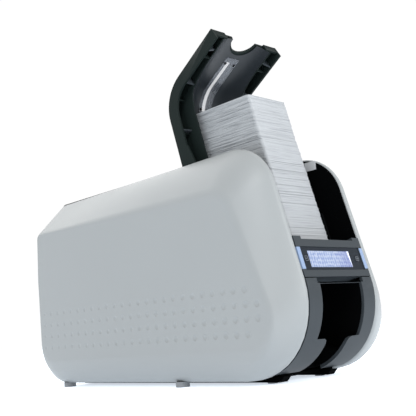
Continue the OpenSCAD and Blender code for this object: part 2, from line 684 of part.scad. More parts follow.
module dc_jack() color("#17191a") {
    difference() {
        box([jack_x - ports[0][1] / 2, jack_x + ports[0][1] / 2], [port_y0, port_y1],
            [port_z, port_z + ports[0][2]]);
        translate([jack_x, port_y1 - 9.5, port_z + 5.8]) rotate([-90, 0, 0]) cylinder(r = 3.15, h = 12);
    }
    translate([jack_x, port_y1 - 10, port_z + 5.8]) rotate([-90, 0, 0]) cylinder(r = 1, h = 9);
}
module data_ports() color("#b9bdc0") for (p = [ports[1], ports[2]]) difference() {
    box([p[0] - p[1] / 2, p[0] + p[1] / 2], [port_y0, port_y1], [port_z, port_z + p[2]]);
    box([p[0] - p[1] / 2 + 1, p[0] + p[1] / 2 - 1], [port_y0 + 4, port_y1 + 1], [port_z + 1, port_z + p[2] - 1]);
}
module main_board() {
    color("#1d5c3c") difference() {
        box([-42, 42], [board_y0, y_back - 14.5], [board_z, board_z + board_t]);
        for (p = board_posts) translate([p[0], p[1], board_z - 1]) cylinder(r = 1.6, h = 4);
    }
    color("#15171a") {
        box([-20, -4], [board_y0 + 30, board_y0 + 46], [board_z + board_t, board_z + board_t + 2]);
        box([6, 18], [board_y0 + 24, board_y0 + 42], [board_z + board_t, board_z + board_t + 2]);
        for (x = [-32, 28]) box([x - 5, x + 5], [board_y0 + 12, board_y0 + 18], [board_z + board_t, board_z + board_t + 7]);
    }
    color("#3b4a66") for (x = [-34, -26]) translate([x, board_y0 + 60, board_z + board_t]) cylinder(r = 3.2, h = 9);
}
module fan_housing() color("#1a1c1e") difference() {
    union() {
        difference() {
            box([fan_c[0] - fan_side / 2, fan_c[0] + fan_side / 2], [fan_y0, fan_y1],
                [fan_c[1] - fan_side / 2, fan_c[1] + fan_side / 2]);
            fan_axle(18.5, fan_y0 - 1, fan_y1 + 1);
        }
        intersection() {
            for (a = [45, 135]) translate([fan_c[0], 0, fan_c[1]]) rotate([0, a, 0])
                box([-25, 25], [fan_y1 - 1.5, fan_y1], [-1.5, 1.5]);
            fan_axle(19, fan_y0, fan_y1 + 1);
        }
        fan_axle(8, fan_y1 - 2, fan_y1);
    }
    fan_axle(1.5 + run_gap, fan_y1 - 3, fan_y1 + 1);
    for (dx = [-1, 1], dz = [-1, 1]) translate([fan_c[0] + 16 * dx, fan_y0 - 1, fan_c[1] + 16 * dz])
        rotate([-90, 0, 0]) cylinder(r = 1.6, h = 20);
}
module fan_axle(r, y0, y1) translate([fan_c[0], y0, fan_c[1]]) rotate([-90, 0, 0]) cylinder(r = r, h = y1 - y0);
module fan_rotor() color("#26292b") {
    fan_axle(8, fan_y0 + 0.5, fan_y1 - 2.5);
    fan_axle(1.5, fan_y0 + 1, fan_y1 - 0.3);
    intersection() {
        for (a = [0:360 / 7:359]) translate([fan_c[0], 0, fan_c[1]]) rotate([0, a, 0])
            translate([0, (fan_y0 + fan_y1) / 2 - 1, 12]) rotate([0, 0, 38]) cube([1.2, 9, 12], center = true);
        fan_axle(17.6, fan_y0 + 0.5, fan_y1 - 2.5);
    }
}

// ---- Card drive ----
module feed_motor() color("#2a2d30") difference() {
    union() {
        translate([hb - motor_len, motor[0] - motor_side / 2, motor[1] - motor_side / 2])
            cube([motor_len, motor_side, motor_side]);
        axle(motor, motor_shaft + 1.4, hb - 1, frame_out);
    }
    axle(motor, motor_shaft + run_gap, hb - 12, frame_out + 1);
    for (s = [-1, 1], t = [-1, 1]) axle([motor[0] + s * motor_side / 2, motor[1] + t * motor_side / 2],
        3, hb - motor_len + 4, hb - 4);
}
module motor_pinion() color("#b58a3a") {
    axle(motor, motor_shaft, hb - 11, gear_x + gear_w + 0.4);
    across(gear_x, gear_x + gear_w) at(motor) gear_figure(pinion_teeth, feed_module, 90 + 180 / pinion_teeth);
}
module platen_gear() color("#e8e4da") difference() {
    union() {
        across(gear_x, gear_x + gear_w) at(platen) gear_figure(platen_teeth, feed_module, -90);
        axle(platen, pulley_r, gear_x + gear_w - eps, belt_x[0] + belt_w);
    }
    axle(platen, shaft_r, gear_x - 1, belt_x[1] + 1);
}
module roller(p, r, half, shaft, out) {
    axle(p, r, -half, half);
    axle(p, shaft, -frame_out - bush_lip - 1, out);
}
module platen_roller() color("#33373a") roller(platen, roller_r, roller_half, shaft_r, belt_x[0] + belt_w + 1);
module front_feed_roller() color("#33373a") {
    roller(front_feed, roller_r, roller_half, shaft_r, belt_x[1] + belt_w);
    axle(front_feed, pulley_r, belt_x[0], belt_x[1] + belt_w);
}
module rear_feed_roller() color("#33373a") {
    roller(rear_feed, roller_r, roller_half, shaft_r, belt_x[0] + belt_w);
    axle(rear_feed, pulley_r, belt_x[0], belt_x[0] + belt_w);
}
module pick_roller() color("#33373a") {
    roller(pick, pick_r, roller_slot - 2, shaft_r, belt_x[1] + belt_w);
    axle(pick, pulley_r, belt_x[0], belt_x[1] + belt_w);
}
module eject_roller() color("#33373a") {
    roller(eject, eject_r, bin_half - 2, shaft_r, belt_x[0] + belt_w);
    axle(eject, pulley_r, belt_x[0], belt_x[0] + belt_w);
}
module front_pinch_roller() color("#5a5f63") roller(front_pinch, pinch_r, roller_half, pinch_shaft, frame_out + 1.5);
module eject_pinch_roller() color("#5a5f63") roller(eject_pinch, pinch_r, bin_half - 2, pinch_shaft, frame_out + 1.5);
module cleaning_roller() color("#b9485a") roller(cleaner, clean_r, roller_half - 6, pinch_shaft, frame_out + 1.5);
module card_gate() color("#202426") {
    axle(gate, gate_shaft, -frame_out, frame_out);
    axle(gate, gate_shaft + 0.8, -bin_half, bin_half);
    across(-bin_half, bin_half) at(gate) polygon([[0, -1.2], [-18.5, -0.4], [-19, 0.3], [0, 2]]);
}
module transport_guide() color("#191c1e") difference() {
    union() {
        box([-hb, hb], [front_feed[0] - 6, guide_end], [plane_z - 2.8, plane_z - 0.8]);
        across(-hb, hb) polygon([[eject[0] + 6.5, exit_z - 0.4], [front_feed[0] - 8, plane_z - 1.2],
            [front_feed[0] - 5, plane_z - 0.8], [front_feed[0] - 5, plane_z - 2.8],
            [front_feed[0] - 8, plane_z - 3.2], [eject[0] + 6.5, exit_z - 2.4]]);
    }
    for (p = [front_feed, platen, rear_feed])
        box([-roller_half - 1, roller_half + 1], [p[0] - roller_r - 0.6, p[0] + roller_r + 0.6],
            [plane_z - 10, plane_z + 1]);
    for (p = [front_feed, platen, rear_feed]) axle(p, shaft_r + gap, -hb - 1, hb + 1);
}
module shaft_bushes() color("#c9a86a") both_sides() for (p = driven) difference() {
    union() {
        axle(p, bush_r, hb, frame_out + bush_lip);
        axle(p, bush_r + 1.2, frame_out, frame_out + bush_lip);
    }
    axle(p, shaft_r + run_gap, hb - 1, frame_out + bush_lip + 1);
}
module tie_rods() color("#a8adb1") for (p = ties) axle(p, 2.5, -hb, hb);
module shell_screws() color("#8d9296") both_sides() for (p = bosses) {
    axle(p, screw_head_r, hb, hb + screw_head_h);
    axle(p, screw_r - 0.2, hb + screw_head_h - eps, frame_out + 12);
}
module belt(a, b, x) color("#1f2122") across(x, x + belt_w) difference() {
    belt_figure(a, b, pulley_r + belt_gap + belt_t);
    belt_figure(a, b, pulley_r + belt_gap);
}
module belt_figure(a, b, r) polygon(ring([[a[0], a[1], r], [b[0], b[1], r]], 0));
module drive_belt() belt(front_feed, rear_feed, belt_x[0]);
module pick_belt() belt(pick, front_feed, belt_x[1]);
module eject_belt() belt(eject, pick, belt_x[0]);

// ---- Rear cover and print unit ----
module top_cover() color("#b9bfc2") difference() {
    union() {
        box([-cover_x, cover_x], [cover_y0, cover_y1], [lid_z - cover_t, lid_z]);
        both_sides() across(cover_x - cover_wall, cover_x) {
            area([cover_y0, cover_y1 - 6], [lid_z - 15, lid_z]);
            at(cover_pin) circle(pin_drop);
            polygon([[head_pivot[0] - 9, lid_z - 10], [head_pivot[0] - 6, head_pivot[1] - 5],
                [head_pivot[0] + 6, head_pivot[1] - 5], [head_pivot[0] + 14, lid_z - 10]]);
        }
        box([-cover_x, cover_x], [cover_y0, cover_y0 + cover_wall], [lid_z - 9, lid_z]);
    }
    axle(cover_pin, pin_r + run_gap, -hb, hb);
    axle(head_pivot, pivot_r + 0.01, -hb, hb);
}
// A cheek runs from the guide rods up round both spools to the cover. It is cut back before
// the head's pivot rod and left open over the head.
module cheek_figure() difference() {
    polygon([[rods[0][0] - cheek_rim, rod_z - cheek_rim], [rods[1][0] + cheek_rim, rod_z - cheek_rim],
        [head_pivot[0] - pivot_r - 1.5, head_pivot[1] - cheek_rim],
        [head_pivot[0] - pivot_r - 1.5, head_pivot[1] + cheek_rim],
        [supply[0] + roll_r - 1, supply[1] - roll_r - 1], [supply[0] + roll_r + 1, supply[1] + 10],
        [supply[0] + 8, lid_z - cover_t], [takeup[0] - 6, lid_z - cover_t],
        [takeup[0] - spool_flange - 1, takeup[1] + 8], [takeup[0] - spool_flange + 2, takeup[1] - roll_r - 1]]);
    area([rods[0][0] + 5, rods[1][0] - 5], [rod_z - 10, spring_top]);
}
module ribbon_cassette() color("#e3e5e6") difference() {
    union() {
        both_sides() across(cheek_x, cheek_x + cheek_t) cheek_figure();
        for (p = rods) axle(p, guide_rod, -cheek_x - eps, cheek_x + eps);
        box([-cheek_x, cheek_x], [rods[0][0] + 5, rods[1][0] - 5], [spring_top, spring_top + 3.5]);
        box([-cheek_x, cheek_x], [platen[0] - 13, platen[0] - 7], [lid_z - cover_t - 3, lid_z - cover_t]);
    }
    axle(takeup, spool_hub + run_gap, -hb, hb);
    axle(supply, spool_hub + run_gap, -hb, hb);
    axle(ribbon_axle, 1.5 + run_gap, 0, hb);
}
// The film's inner face (d = 0) or outer face (d = film_t), from roll to roll.
function film_line(d) = concat([[takeup[0] + film_roll + 2 * film_slack - d, takeup[1]]],
    arc(rods[0], guide_rod + film_slack / 4 + d, 180, 270),
    [[platen[0] - 2, film_z + film_t - d], [platen[0] + 2, film_z + film_t - d]],
    arc(rods[1], guide_rod + film_slack / 4 + d, 270, 360),
    [[supply[0] - roll_r - 2 * film_slack + d, supply[1]]]);
module ribbon_film() color([0.55, 0.25, 0.5, 0.8]) across(-ribbon_w / 2, ribbon_w / 2)
    polygon(concat(film_line(0), reversed(film_line(film_t))));
module takeup_spool() color("#dfe2e4") {
    axle(takeup, spool_core, -cheek_x + 0.5, cheek_x - 0.5);
    axle(takeup, spool_hub, -cheek_x - cheek_t - 2, ribbon_gear_x + ribbon_gear_w);
    axle(takeup, film_roll, -ribbon_w / 2, ribbon_w / 2);
    both_sides() axle(takeup, spool_flange, ribbon_w / 2 + 0.5, ribbon_w / 2 + 2.5);
    across(ribbon_gear_x, ribbon_gear_x + ribbon_gear_w) at(takeup)
        gear_figure(takeup_teeth, ribbon_module, ribbon_mesh_angle);
}
module supply_spool() color("#7a4b86") {
    axle(supply, roll_r, -ribbon_w / 2, ribbon_w / 2);
    axle(supply, spool_core, -cheek_x + 0.5, cheek_x - 0.5);
    axle(supply, spool_hub, -cheek_x - cheek_t - 2, cheek_x + cheek_t + 2);
}
module ribbon_motor() color("#9ba1a5") difference() {
    axle(ribbon_axle, 9.5, -8, cheek_x);
    axle(ribbon_axle, 1.5 + run_gap, 20, cheek_x + 1);
}
module ribbon_pinion() color("#e0dccf") {
    axle(ribbon_axle, 1.5, 21, ribbon_gear_x + ribbon_gear_w);
    across(ribbon_gear_x, ribbon_gear_x + ribbon_gear_w) at(ribbon_axle) gear_figure(ribbon_pinion_teeth,
        ribbon_module, ribbon_mesh_angle + 180 + 180 / ribbon_pinion_teeth);
}
module head_pivot_rod() color("#9aa0a4") axle(head_pivot, pivot_r, -cover_x, cover_x);
module head_bracket() color("#9fa5a9") difference() {
    union() {
        both_sides() across(arm_x0, arm_x1) {
            at(head_pivot) circle(5);
            polygon([[platen[0] - 8, head_top - 5], [platen[0] + 8, head_top - 5],
                [head_pivot[0] + 3, head_pivot[1] - 4], [head_pivot[0] - 4, head_pivot[1] + 3],
                [platen[0] - 8, head_top + plate_t]]);
        }
        box([-arm_x1, arm_x1], [platen[0] - 8, platen[0] + 8], [head_top, head_top + plate_t]);
    }
    axle(head_pivot, pivot_r + run_gap, -hb, hb);
}
module print_head() color("#3c4043") across(-ribbon_w / 2 - 1, ribbon_w / 2 + 1)
    polygon([[platen[0] - 1.5, head_z], [platen[0] + 1.5, head_z], [platen[0] + 4.5, head_z + 3.5],
        [platen[0] + 5.5, head_top], [platen[0] - 6.5, head_top], [platen[0] - 5.5, head_z + 5]]);
module head_springs() color("#c3c7ca") for (x = [-spring_x, spring_x])
    translate([x, platen[0], head_top + plate_t + 0.2])
        linear_extrude(spring_top - head_top - plate_t - 0.4, twist = -1800, slices = 60, $fn = 6)
            translate([3.4, 0]) circle(r = 0.6, $fn = 6);

left_shell();
right_shell();
left_side_frame();
right_side_frame();
base_tray();
rubber_feet();
front_bezel();
output_tray();
display_panel();
display_window();
lcd_module();
display_board();
hopper_cradle();
card_stack();
card_stack_upper();
hinge_bridge();
lid_hinge_pins();
hopper_lid();
lid_window();
left_key();
right_key();
rear_panel();
cover_hinge_pins();
power_switch();
dc_jack();
data_ports();
main_board();
fan_housing();
fan_rotor();
feed_motor();
motor_pinion();
transport_guide();
shaft_bushes();
tie_rods();
shell_screws();
platen_roller();
platen_gear();
front_feed_roller();
rear_feed_roller();
front_pinch_roller();
cleaning_roller();
pick_roller();
eject_roller();
eject_pinch_roller();
card_gate();
drive_belt();
pick_belt();
eject_belt();
top_cover();
ribbon_cassette();
ribbon_film();
takeup_spool();
supply_spool();
ribbon_motor();
ribbon_pinion();
head_pivot_rod();
head_bracket();
print_head();
head_springs();
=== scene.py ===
# %% [markdown]
# # A desktop card printer
# The machine prints plastic cards one at a time. Two grey shells stand around a dark bay with a bin,
# a lit display, a stack of blank cards under a hinged lid, and a rear cover that carries the ribbon.
# The frame holds the machine's real solids, which move on their joints. This lesson dresses them:
# it lays smooth shells, cards, a display and finishes over the frame, and leaves every measure alone.

# %% Load the frame
import json
import math
import random

import bpy
from mathutils import Matrix, Vector

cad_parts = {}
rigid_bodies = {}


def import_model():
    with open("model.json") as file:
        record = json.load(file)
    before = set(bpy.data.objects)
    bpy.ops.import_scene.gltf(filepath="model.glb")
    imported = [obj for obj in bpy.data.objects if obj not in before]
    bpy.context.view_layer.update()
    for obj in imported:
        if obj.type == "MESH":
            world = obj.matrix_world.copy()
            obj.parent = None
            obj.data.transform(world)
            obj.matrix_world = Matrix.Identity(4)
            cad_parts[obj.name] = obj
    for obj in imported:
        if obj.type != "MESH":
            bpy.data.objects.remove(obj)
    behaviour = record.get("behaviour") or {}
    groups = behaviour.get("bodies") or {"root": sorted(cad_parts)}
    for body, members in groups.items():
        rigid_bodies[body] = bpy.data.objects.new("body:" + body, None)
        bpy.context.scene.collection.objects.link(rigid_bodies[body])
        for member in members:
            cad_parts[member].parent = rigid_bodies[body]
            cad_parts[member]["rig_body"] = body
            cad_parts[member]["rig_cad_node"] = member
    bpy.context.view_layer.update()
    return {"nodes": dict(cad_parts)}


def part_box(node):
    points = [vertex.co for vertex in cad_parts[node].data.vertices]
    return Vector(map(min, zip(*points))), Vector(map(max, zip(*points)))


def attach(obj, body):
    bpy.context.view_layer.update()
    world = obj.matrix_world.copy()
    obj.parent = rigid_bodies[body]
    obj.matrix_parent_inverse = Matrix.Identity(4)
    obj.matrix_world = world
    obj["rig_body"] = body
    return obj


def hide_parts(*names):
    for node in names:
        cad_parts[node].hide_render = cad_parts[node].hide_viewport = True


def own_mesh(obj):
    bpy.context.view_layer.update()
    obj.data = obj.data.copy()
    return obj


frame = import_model()
nodes = frame["nodes"]
MM = 0.001

# %% [markdown]
# ## Camera and studio
# A camera is placed by where it stands and three turns. It could be turned by hand in the viewport,
# but numbers can be read and changed one by one. The lens here stands low, beside the front left
# corner, and looks slightly up, so the machine towers a little and its upright lines lean together.

# %% Camera
CAMERA_AT = Vector((-523.8, -563.0, 52.3)) * MM
YAW, PITCH, ROLL = (math.radians(a) for a in (43.96, 9.2, -4.56))
LENS, SENSOR = 63.72, 36
NEAR, FAR = 0.01, 50


def camera_turn(yaw, pitch, roll):
    """Right, up and back of a camera that looks along yaw and pitch and is rolled about its view."""
    forward = Vector((math.sin(yaw) * math.cos(pitch), math.cos(yaw) * math.cos(pitch), math.sin(pitch)))
    right = forward.cross(Vector((0, 0, 1))).normalized()
    up = right.cross(forward)
    rolled = math.cos(roll) * right + math.sin(roll) * up
    return Matrix((rolled, forward.cross(-rolled), -forward)).transposed()


bpy.ops.object.camera_add()
camera = bpy.context.object
camera.data.lens = LENS
camera.data.sensor_width = SENSOR
camera.matrix_world = Matrix.Translation(CAMERA_AT) @ camera_turn(YAW, PITCH, ROLL).to_4x4()
camera.data.clip_start = NEAR
camera.data.clip_end = FAR
bpy.context.scene.camera = camera
print("camera at", [round(v, 3) for v in camera.location])

# %% [markdown]
# ## Light
# Soft light comes from large sources. A broad lamp hangs over the rear, a smaller one stands over the
# front left and models the dimples, one lights the front and one the back. A white world closes the
# shadows like a tent. Spot lamps would be quicker to aim, but they leave hard shadows on pale plastic.

# %% Lights and world
def softbox(name, at, aim, size, power):
    """A square area lamp at a place, turned towards another."""
    bpy.ops.object.light_add(type="AREA", location=at)
    lamp = bpy.context.object
    lamp.name = name
    lamp.data.shape = "SQUARE"
    lamp.data.size = size
    lamp.data.energy = power
    lamp.rotation_euler = (Vector(aim) - Vector(at)).to_track_quat("-Z", "Y").to_euler()
    return lamp


MIDDLE = (0, 0, 0.14)
TENT_STRENGTH = 1.02
softbox("over_rear", at=(0.2, 1.0, 1.5), aim=(0, 0.1, 0.14), size=1.5, power=15)
softbox("front_left", at=(-0.9, -0.72, 1.05), aim=(0, -0.12, 0.08), size=0.3, power=7.2)
softbox("front", at=(0.5, -1.7, 0.7), aim=MIDDLE, size=0.9, power=17)
softbox("behind", at=(-0.3, 1.8, 0.7), aim=MIDDLE, size=1.2, power=3.5)

world = bpy.data.worlds.new("tent")
world.use_nodes = True
tent = world.node_tree.nodes["Background"]
tent.inputs["Color"].default_value = (1.0, 1.0, 1.0, 1)
tent.inputs["Strength"].default_value = TENT_STRENGTH
bpy.context.scene.world = world
bpy.context.scene.view_settings.view_transform = "Standard"

# %% [markdown]
# ## Floor
# The machine stands on a wide pale sheet, wide enough that its edge is never seen. A plane is all it
# needs. It isn't part of the machine.

# %% Floor
FLOOR_HALF = 6.0
bpy.ops.mesh.primitive_plane_add(size=2 * FLOOR_HALF, location=(0, 0, 0))
floor = bpy.context.object
floor.name = "floor"
print("floor:", 2 * FLOOR_HALF, "m wide")

# %% [markdown]
# ## Finishes
# A finish is a small net of nodes. It could be wired by hand in the shader editor, but the same few
# steps come back in every finish, so helpers make them. The first ones are arithmetic and a blend of
# two colours.

# %% Helpers for nodes
def shader_of(material):
    """The main shader of a material."""
    return material.node_tree.nodes["Principled BSDF"]


def feed(tree, socket, value):
    """Puts a number or a colour into a socket, or links another node's output to it."""
    if isinstance(value, tuple):
        socket.default_value = (*value, 1)
    elif isinstance(value, (int, float)):
        socket.default_value = value
    else:
        tree.links.new(value, socket)


def math_node(tree, operation, first, second=None, third=0):
    """One step of arithmetic; an input is a number or another node's output. Products stay in 0 to 1."""
    node = tree.nodes.new("ShaderNodeMath")
    node.operation = operation
    node.use_clamp = operation == "MULTIPLY"
    for socket, value in zip(node.inputs, (first, second, third)):
        if value is not None:
            feed(tree, socket, value)
    return node.outputs[0]


def blend_colour(tree, factor, first, second):
    """The first colour where the factor is 0 and the second where it is 1."""
    node = tree.nodes.new("ShaderNodeMix")
    node.data_type = "RGBA"
    for socket, value in ((node.inputs[0], factor), (node.inputs[6], first), (node.inputs[7], second)):
        feed(tree, socket, value)
    return node.outputs[2]


print("helpers ready: arithmetic and colour blends")

# %% [markdown]
# Noise keeps a surface from looking like a flat coat of paint. A picture of grain would do so too, but
# it shows where it repeats. The noise reads the place on the piece, so it stays put when a joint moves.

# %% Helpers for noise and new finishes
def even_noise(tree, place, scale, detail):
    """Cloudy noise, the same in all directions."""
    noise = tree.nodes.new("ShaderNodeTexNoise")
    noise.inputs["Scale"].default_value = scale
    noise.inputs["Detail"].default_value = detail
    tree.links.new(place, noise.inputs["Vector"])
    return noise.outputs["Fac"]


def stretched_noise(tree, place, scale, detail):
    """Noise with a scale of its own in each of the three directions."""
    mapping = tree.nodes.new("ShaderNodeMapping")
    mapping.inputs["Scale"].default_value = scale
    tree.links.new(place, mapping.inputs["Vector"])
    return even_noise(tree, mapping.outputs["Vector"], 1, detail)


def new_finish(name):
    """A new material, with its nodes, its shader and the output that says where on a piece it is."""
    material = bpy.data.materials.new(name)
    material.use_nodes = True
    tree = material.node_tree
    return material, tree, shader_of(material), tree.nodes.new("ShaderNodeTexCoord").outputs["Object"]


print("helpers ready: noise and new finishes")

# %% [markdown]
# Moulded plastic is a Principled shader with three small extras: a slow drift of tone, a fine grain
# in the bump that comes from the mould's texture, and a little change of gloss where hands rub it.
# The patterns read Object coordinates in metres, so the scales are large numbers.

# %% Helper for plastics
GRAIN_BUMP = 0.25


def uneven_tone(tree, shader, factor, colour, darker, paler):
    """The colour drifts between a darker and a paler share of itself."""
    dark, pale = (tuple(min(1, c * share) for c in colour) for share in (darker, paler))
    tone = blend_colour(tree, factor, dark, pale)
    tree.links.new(tone, shader.inputs["Base Color"])


def uneven_gloss(tree, shader, factor, glossy, dull, span=(0, 1)):
    """The roughness goes from glossy to dull while the factor crosses its span."""
    gloss = tree.nodes.new("ShaderNodeMapRange")
    for name, value in zip(("From Min", "From Max", "To Min", "To Max"), (*span, glossy, dull)):
        gloss.inputs[name].default_value = value
    tree.links.new(factor, gloss.inputs["Value"])
    tree.links.new(gloss.outputs["Result"], shader.inputs["Roughness"])


def moulded(name, colour, rough, shine=0.5, grain=2600, grain_depth=0.02, drift=0.04, patch=9):
    """A moulded plastic: colour, gloss, mould grain and a slow drift of tone."""
    material, tree, shader, place = new_finish(name)
    cloud = even_noise(tree, place, patch, 3)
    uneven_tone(tree, shader, cloud, colour, 1 - drift, 1 + drift)
    uneven_gloss(tree, shader, cloud, rough - 0.04, rough + 0.05, span=(0.3, 0.7))
    bump = tree.nodes.new("ShaderNodeBump")
    bump.inputs["Strength"].default_value = GRAIN_BUMP
    bump.inputs["Distance"].default_value = grain_depth * MM
    tree.links.new(even_noise(tree, place, grain, 2), bump.inputs["Height"])
    tree.links.new(bump.outputs["Normal"], shader.inputs["Normal"])
    shader.inputs["Specular IOR Level"].default_value = shine
    return material


print("grain bump:", GRAIN_BUMP)

# %% [markdown]
# Metal needs no grain but streaks, where a tool or a cloth went along it; noise that is stretched in
# one direction looks like them. A lit part is plastic with a little light of its own. A thin clear
# sheet could be glass that bends light, but alpha and a glossy coat give its look with less noise.

# %% Helpers for metal, lit and clear parts
STREAKS, STREAK_LENGTH = 900, 0.06
LAMP_COVER_ROUGH, SHEET_COAT_ROUGH = 0.35, 0.05


def polished(name, colour, rough, metallic=1.0):
    """A turned or plated metal: fine streaks round the work and a slightly uneven polish."""
    material, tree, shader, place = new_finish(name)
    shader.inputs["Metallic"].default_value = metallic
    streak = stretched_noise(tree, place, (STREAKS, STREAKS * STREAK_LENGTH, STREAKS * STREAK_LENGTH), 4)
    uneven_tone(tree, shader, streak, colour, 0.88, 1.08)
    uneven_gloss(tree, shader, streak, rough - 0.06, rough + 0.08)
    return material


def glowing(material, colour, strength):
    """The same material, giving some light of its own."""
    shader_of(material).inputs["Emission Color"].default_value = (*colour, 1)
    shader_of(material).inputs["Emission Strength"].default_value = strength
    return material


def lit(name, colour, strength):
    """A plastic with a lamp behind it."""
    return glowing(moulded(name, colour, LAMP_COVER_ROUGH, grain=1500, grain_depth=0.01), colour, strength)


def clear(name, colour, rough, alpha, shine=0.5, coat=0.6):
    """A clear or tinted sheet, thin enough that it needs no bending of light."""
    material = moulded(name, colour, rough, shine, grain=800, grain_depth=0.004)
    shader = shader_of(material)
    shader.inputs["Alpha"].default_value = alpha
    shader.inputs["Coat Weight"].default_value = coat
    shader.inputs["Coat Roughness"].default_value = SHEET_COAT_ROUGH
    return material


print("streaks are", round(1 / STREAK_LENGTH), "times as long as wide")

# %% [markdown]
# ## The palette
# Pale grey shells, a charcoal bay, near-black working parts, and the small bright things: cards,
# lit keys and display, steel, bronze, gear white and board green. Each finish is made once here and
# shared by all pieces of the same stuff, so a change of tone is made in one place.

# %% Materials
SATIN = {"rough": 0.42, "shine": 0.35, "grain": 2400, "grain_depth": 0.03, "drift": 0.012}
shell_grey = moulded("shell_grey", (0.236, 0.250, 0.253), **SATIN)
cover_grey = moulded("cover_grey", (0.232, 0.245, 0.248), **SATIN)
stop_grey = moulded("stop_grey", (0.42, 0.43, 0.44), 0.45, 0.3, grain=2400)
mark_grey = moulded("mark_grey", (0.10, 0.11, 0.125), 0.5, 0.1, grain=1900)
trim_dark = moulded("trim_dark", (0.030, 0.036, 0.041), 0.45, 0.14, grain=1900)
lid_charcoal = moulded("lid_charcoal", (0.0085, 0.0130, 0.0122), 0.5, 0.05, grain=1700, grain_depth=0.03)
trough_slate = moulded("trough_slate", (0.0095, 0.0125, 0.0155), 0.33, 0.24, grain=2600, grain_depth=0.01)
# bay_black is the parts' own black plastic, deepened below any real plastic as painted shade for the deep
# bay.
bay_black = moulded("bay_black", (0.0011, 0.0013, 0.0015), 0.75, 0.015, grain=1500, grain_depth=0.03)
foot_rubber = moulded("foot_rubber", (0.20, 0.21, 0.22), 0.75, 0.2, grain=1200, grain_depth=0.05)
roller_rubber = moulded("roller_rubber", (0.030, 0.031, 0.033), 0.62, 0.3, grain=900, grain_depth=0.05)
belt_rubber = moulded("belt_rubber", (0.012, 0.013, 0.014), 0.7, 0.3, grain=700, grain_depth=0.08)
tacky_rubber = moulded("tacky_rubber", (0.30, 0.04, 0.06), 0.3, grain=600, grain_depth=0.01)
gear_white = moulded("gear_white", (0.50, 0.49, 0.45), 0.45, grain=1100, grain_depth=0.01)
cassette_white = moulded("cassette_white", (0.48, 0.50, 0.51), 0.4, grain=1600, grain_depth=0.015)
ribbon_dye = moulded("ribbon_dye", (0.12, 0.02, 0.15), 0.25, grain=300, grain_depth=0.01,
                     drift=0.2, patch=60)
board_green = moulded("board_green", (0.01, 0.07, 0.035), 0.35, grain=500, grain_depth=0.03,
                      drift=0.15, patch=160)
steel = polished("steel", (0.42, 0.43, 0.44), 0.3)
zinc = polished("zinc", (0.44, 0.45, 0.45), 0.42)
bronze = polished("bronze", (0.44, 0.29, 0.13), 0.4)
motor_black = polished("motor_black", (0.03, 0.032, 0.035), 0.45, metallic=0.6)
head_dark = polished("head_dark", (0.06, 0.065, 0.07), 0.35, metallic=0.9)
key_glow = lit("key_glow", (0.17, 0.235, 0.36), 0.06)
window_smoke = clear("window_smoke", (0.011, 0.015, 0.021), 0.3, 0.9, shine=0.12, coat=0.0)
window_clear = clear("window_clear", (0.20, 0.215, 0.245), 0.12, 0.3)
print("materials:", len(bpy.data.materials))

# %% [markdown]
# The floor's sheet gives some light of its own, as a light table does. A brighter lamp would do the
# same but burn out the shells' tops; this way the machine's shadow stays faint and its belly is lit.

# %% Floor sheet
SHEET_GLOW, SHEET_GLOW_STRENGTH = (0.86, 0.93, 1.02), 0.69
floor_white = moulded("floor_white", (0.86, 0.90, 0.95), 0.8, 0.1, grain=60, grain_depth=0.01,
                      drift=0.005, patch=2)
floor.data.materials.append(glowing(floor_white, SHEET_GLOW, SHEET_GLOW_STRENGTH))
print("the floor glows at", SHEET_GLOW_STRENGTH)

# %% [markdown]
# The lit display has a pale blue ground that deepens to violet on the right, rows of whitish blurs
# where its lines of figures would be, and a bright slanted edge. A picture could be laid on it, but
# nodes that read the place on the glass stay sharp at any size and say nothing legible.

# %% Display material
COLUMN_PITCH, ROW_PITCH = 0.0031, 0.0036
BRIGHT_EDGE_X, EDGE_SLANT, EDGE_STEEP = 0.0405, 0.16, 4000
FIGURES_FROM, FIGURES_STEEP = 0.52, 3.4
COLUMN_WEIGHT, ROW_WEIGHT, FIGURES_FADE = 0.35, 0.25, 0.7
DEEPEN, DEEPEN_FROM = 17.0, 0.56  # the ground's violet: its gain per metre to the right, and its start
DISPLAY_GLOW = 0.1


def wave(tree, place, pitch):
    """A wave of the given pitch in metres, between 0 and 0.6."""
    turns = math_node(tree, "MULTIPLY_ADD", place, 2 * math.pi / pitch)
    return math_node(tree, "MULTIPLY_ADD", math_node(tree, "SINE", turns), 0.3, 0.3)


def figure_blurs(tree, place, x, z, across):
    """Blurs in rows and columns, fainter towards the right: 1 where a blur is, 0 between them."""
    columns = math_node(tree, "MULTIPLY", wave(tree, x, COLUMN_PITCH), COLUMN_WEIGHT)
    rows = math_node(tree, "MULTIPLY", wave(tree, z, ROW_PITCH), ROW_WEIGHT)
    blurs = stretched_noise(tree, place, (620, 300, 480), 4)
    figures = math_node(tree, "ADD", math_node(tree, "ADD", columns, rows), blurs)
    figures = math_node(tree, "MULTIPLY", math_node(tree, "SUBTRACT", figures, FIGURES_FROM), FIGURES_STEEP)
    fading = math_node(tree, "SUBTRACT", 1.0, math_node(tree, "MULTIPLY", across, FIGURES_FADE))
    return math_node(tree, "MULTIPLY", figures, fading)


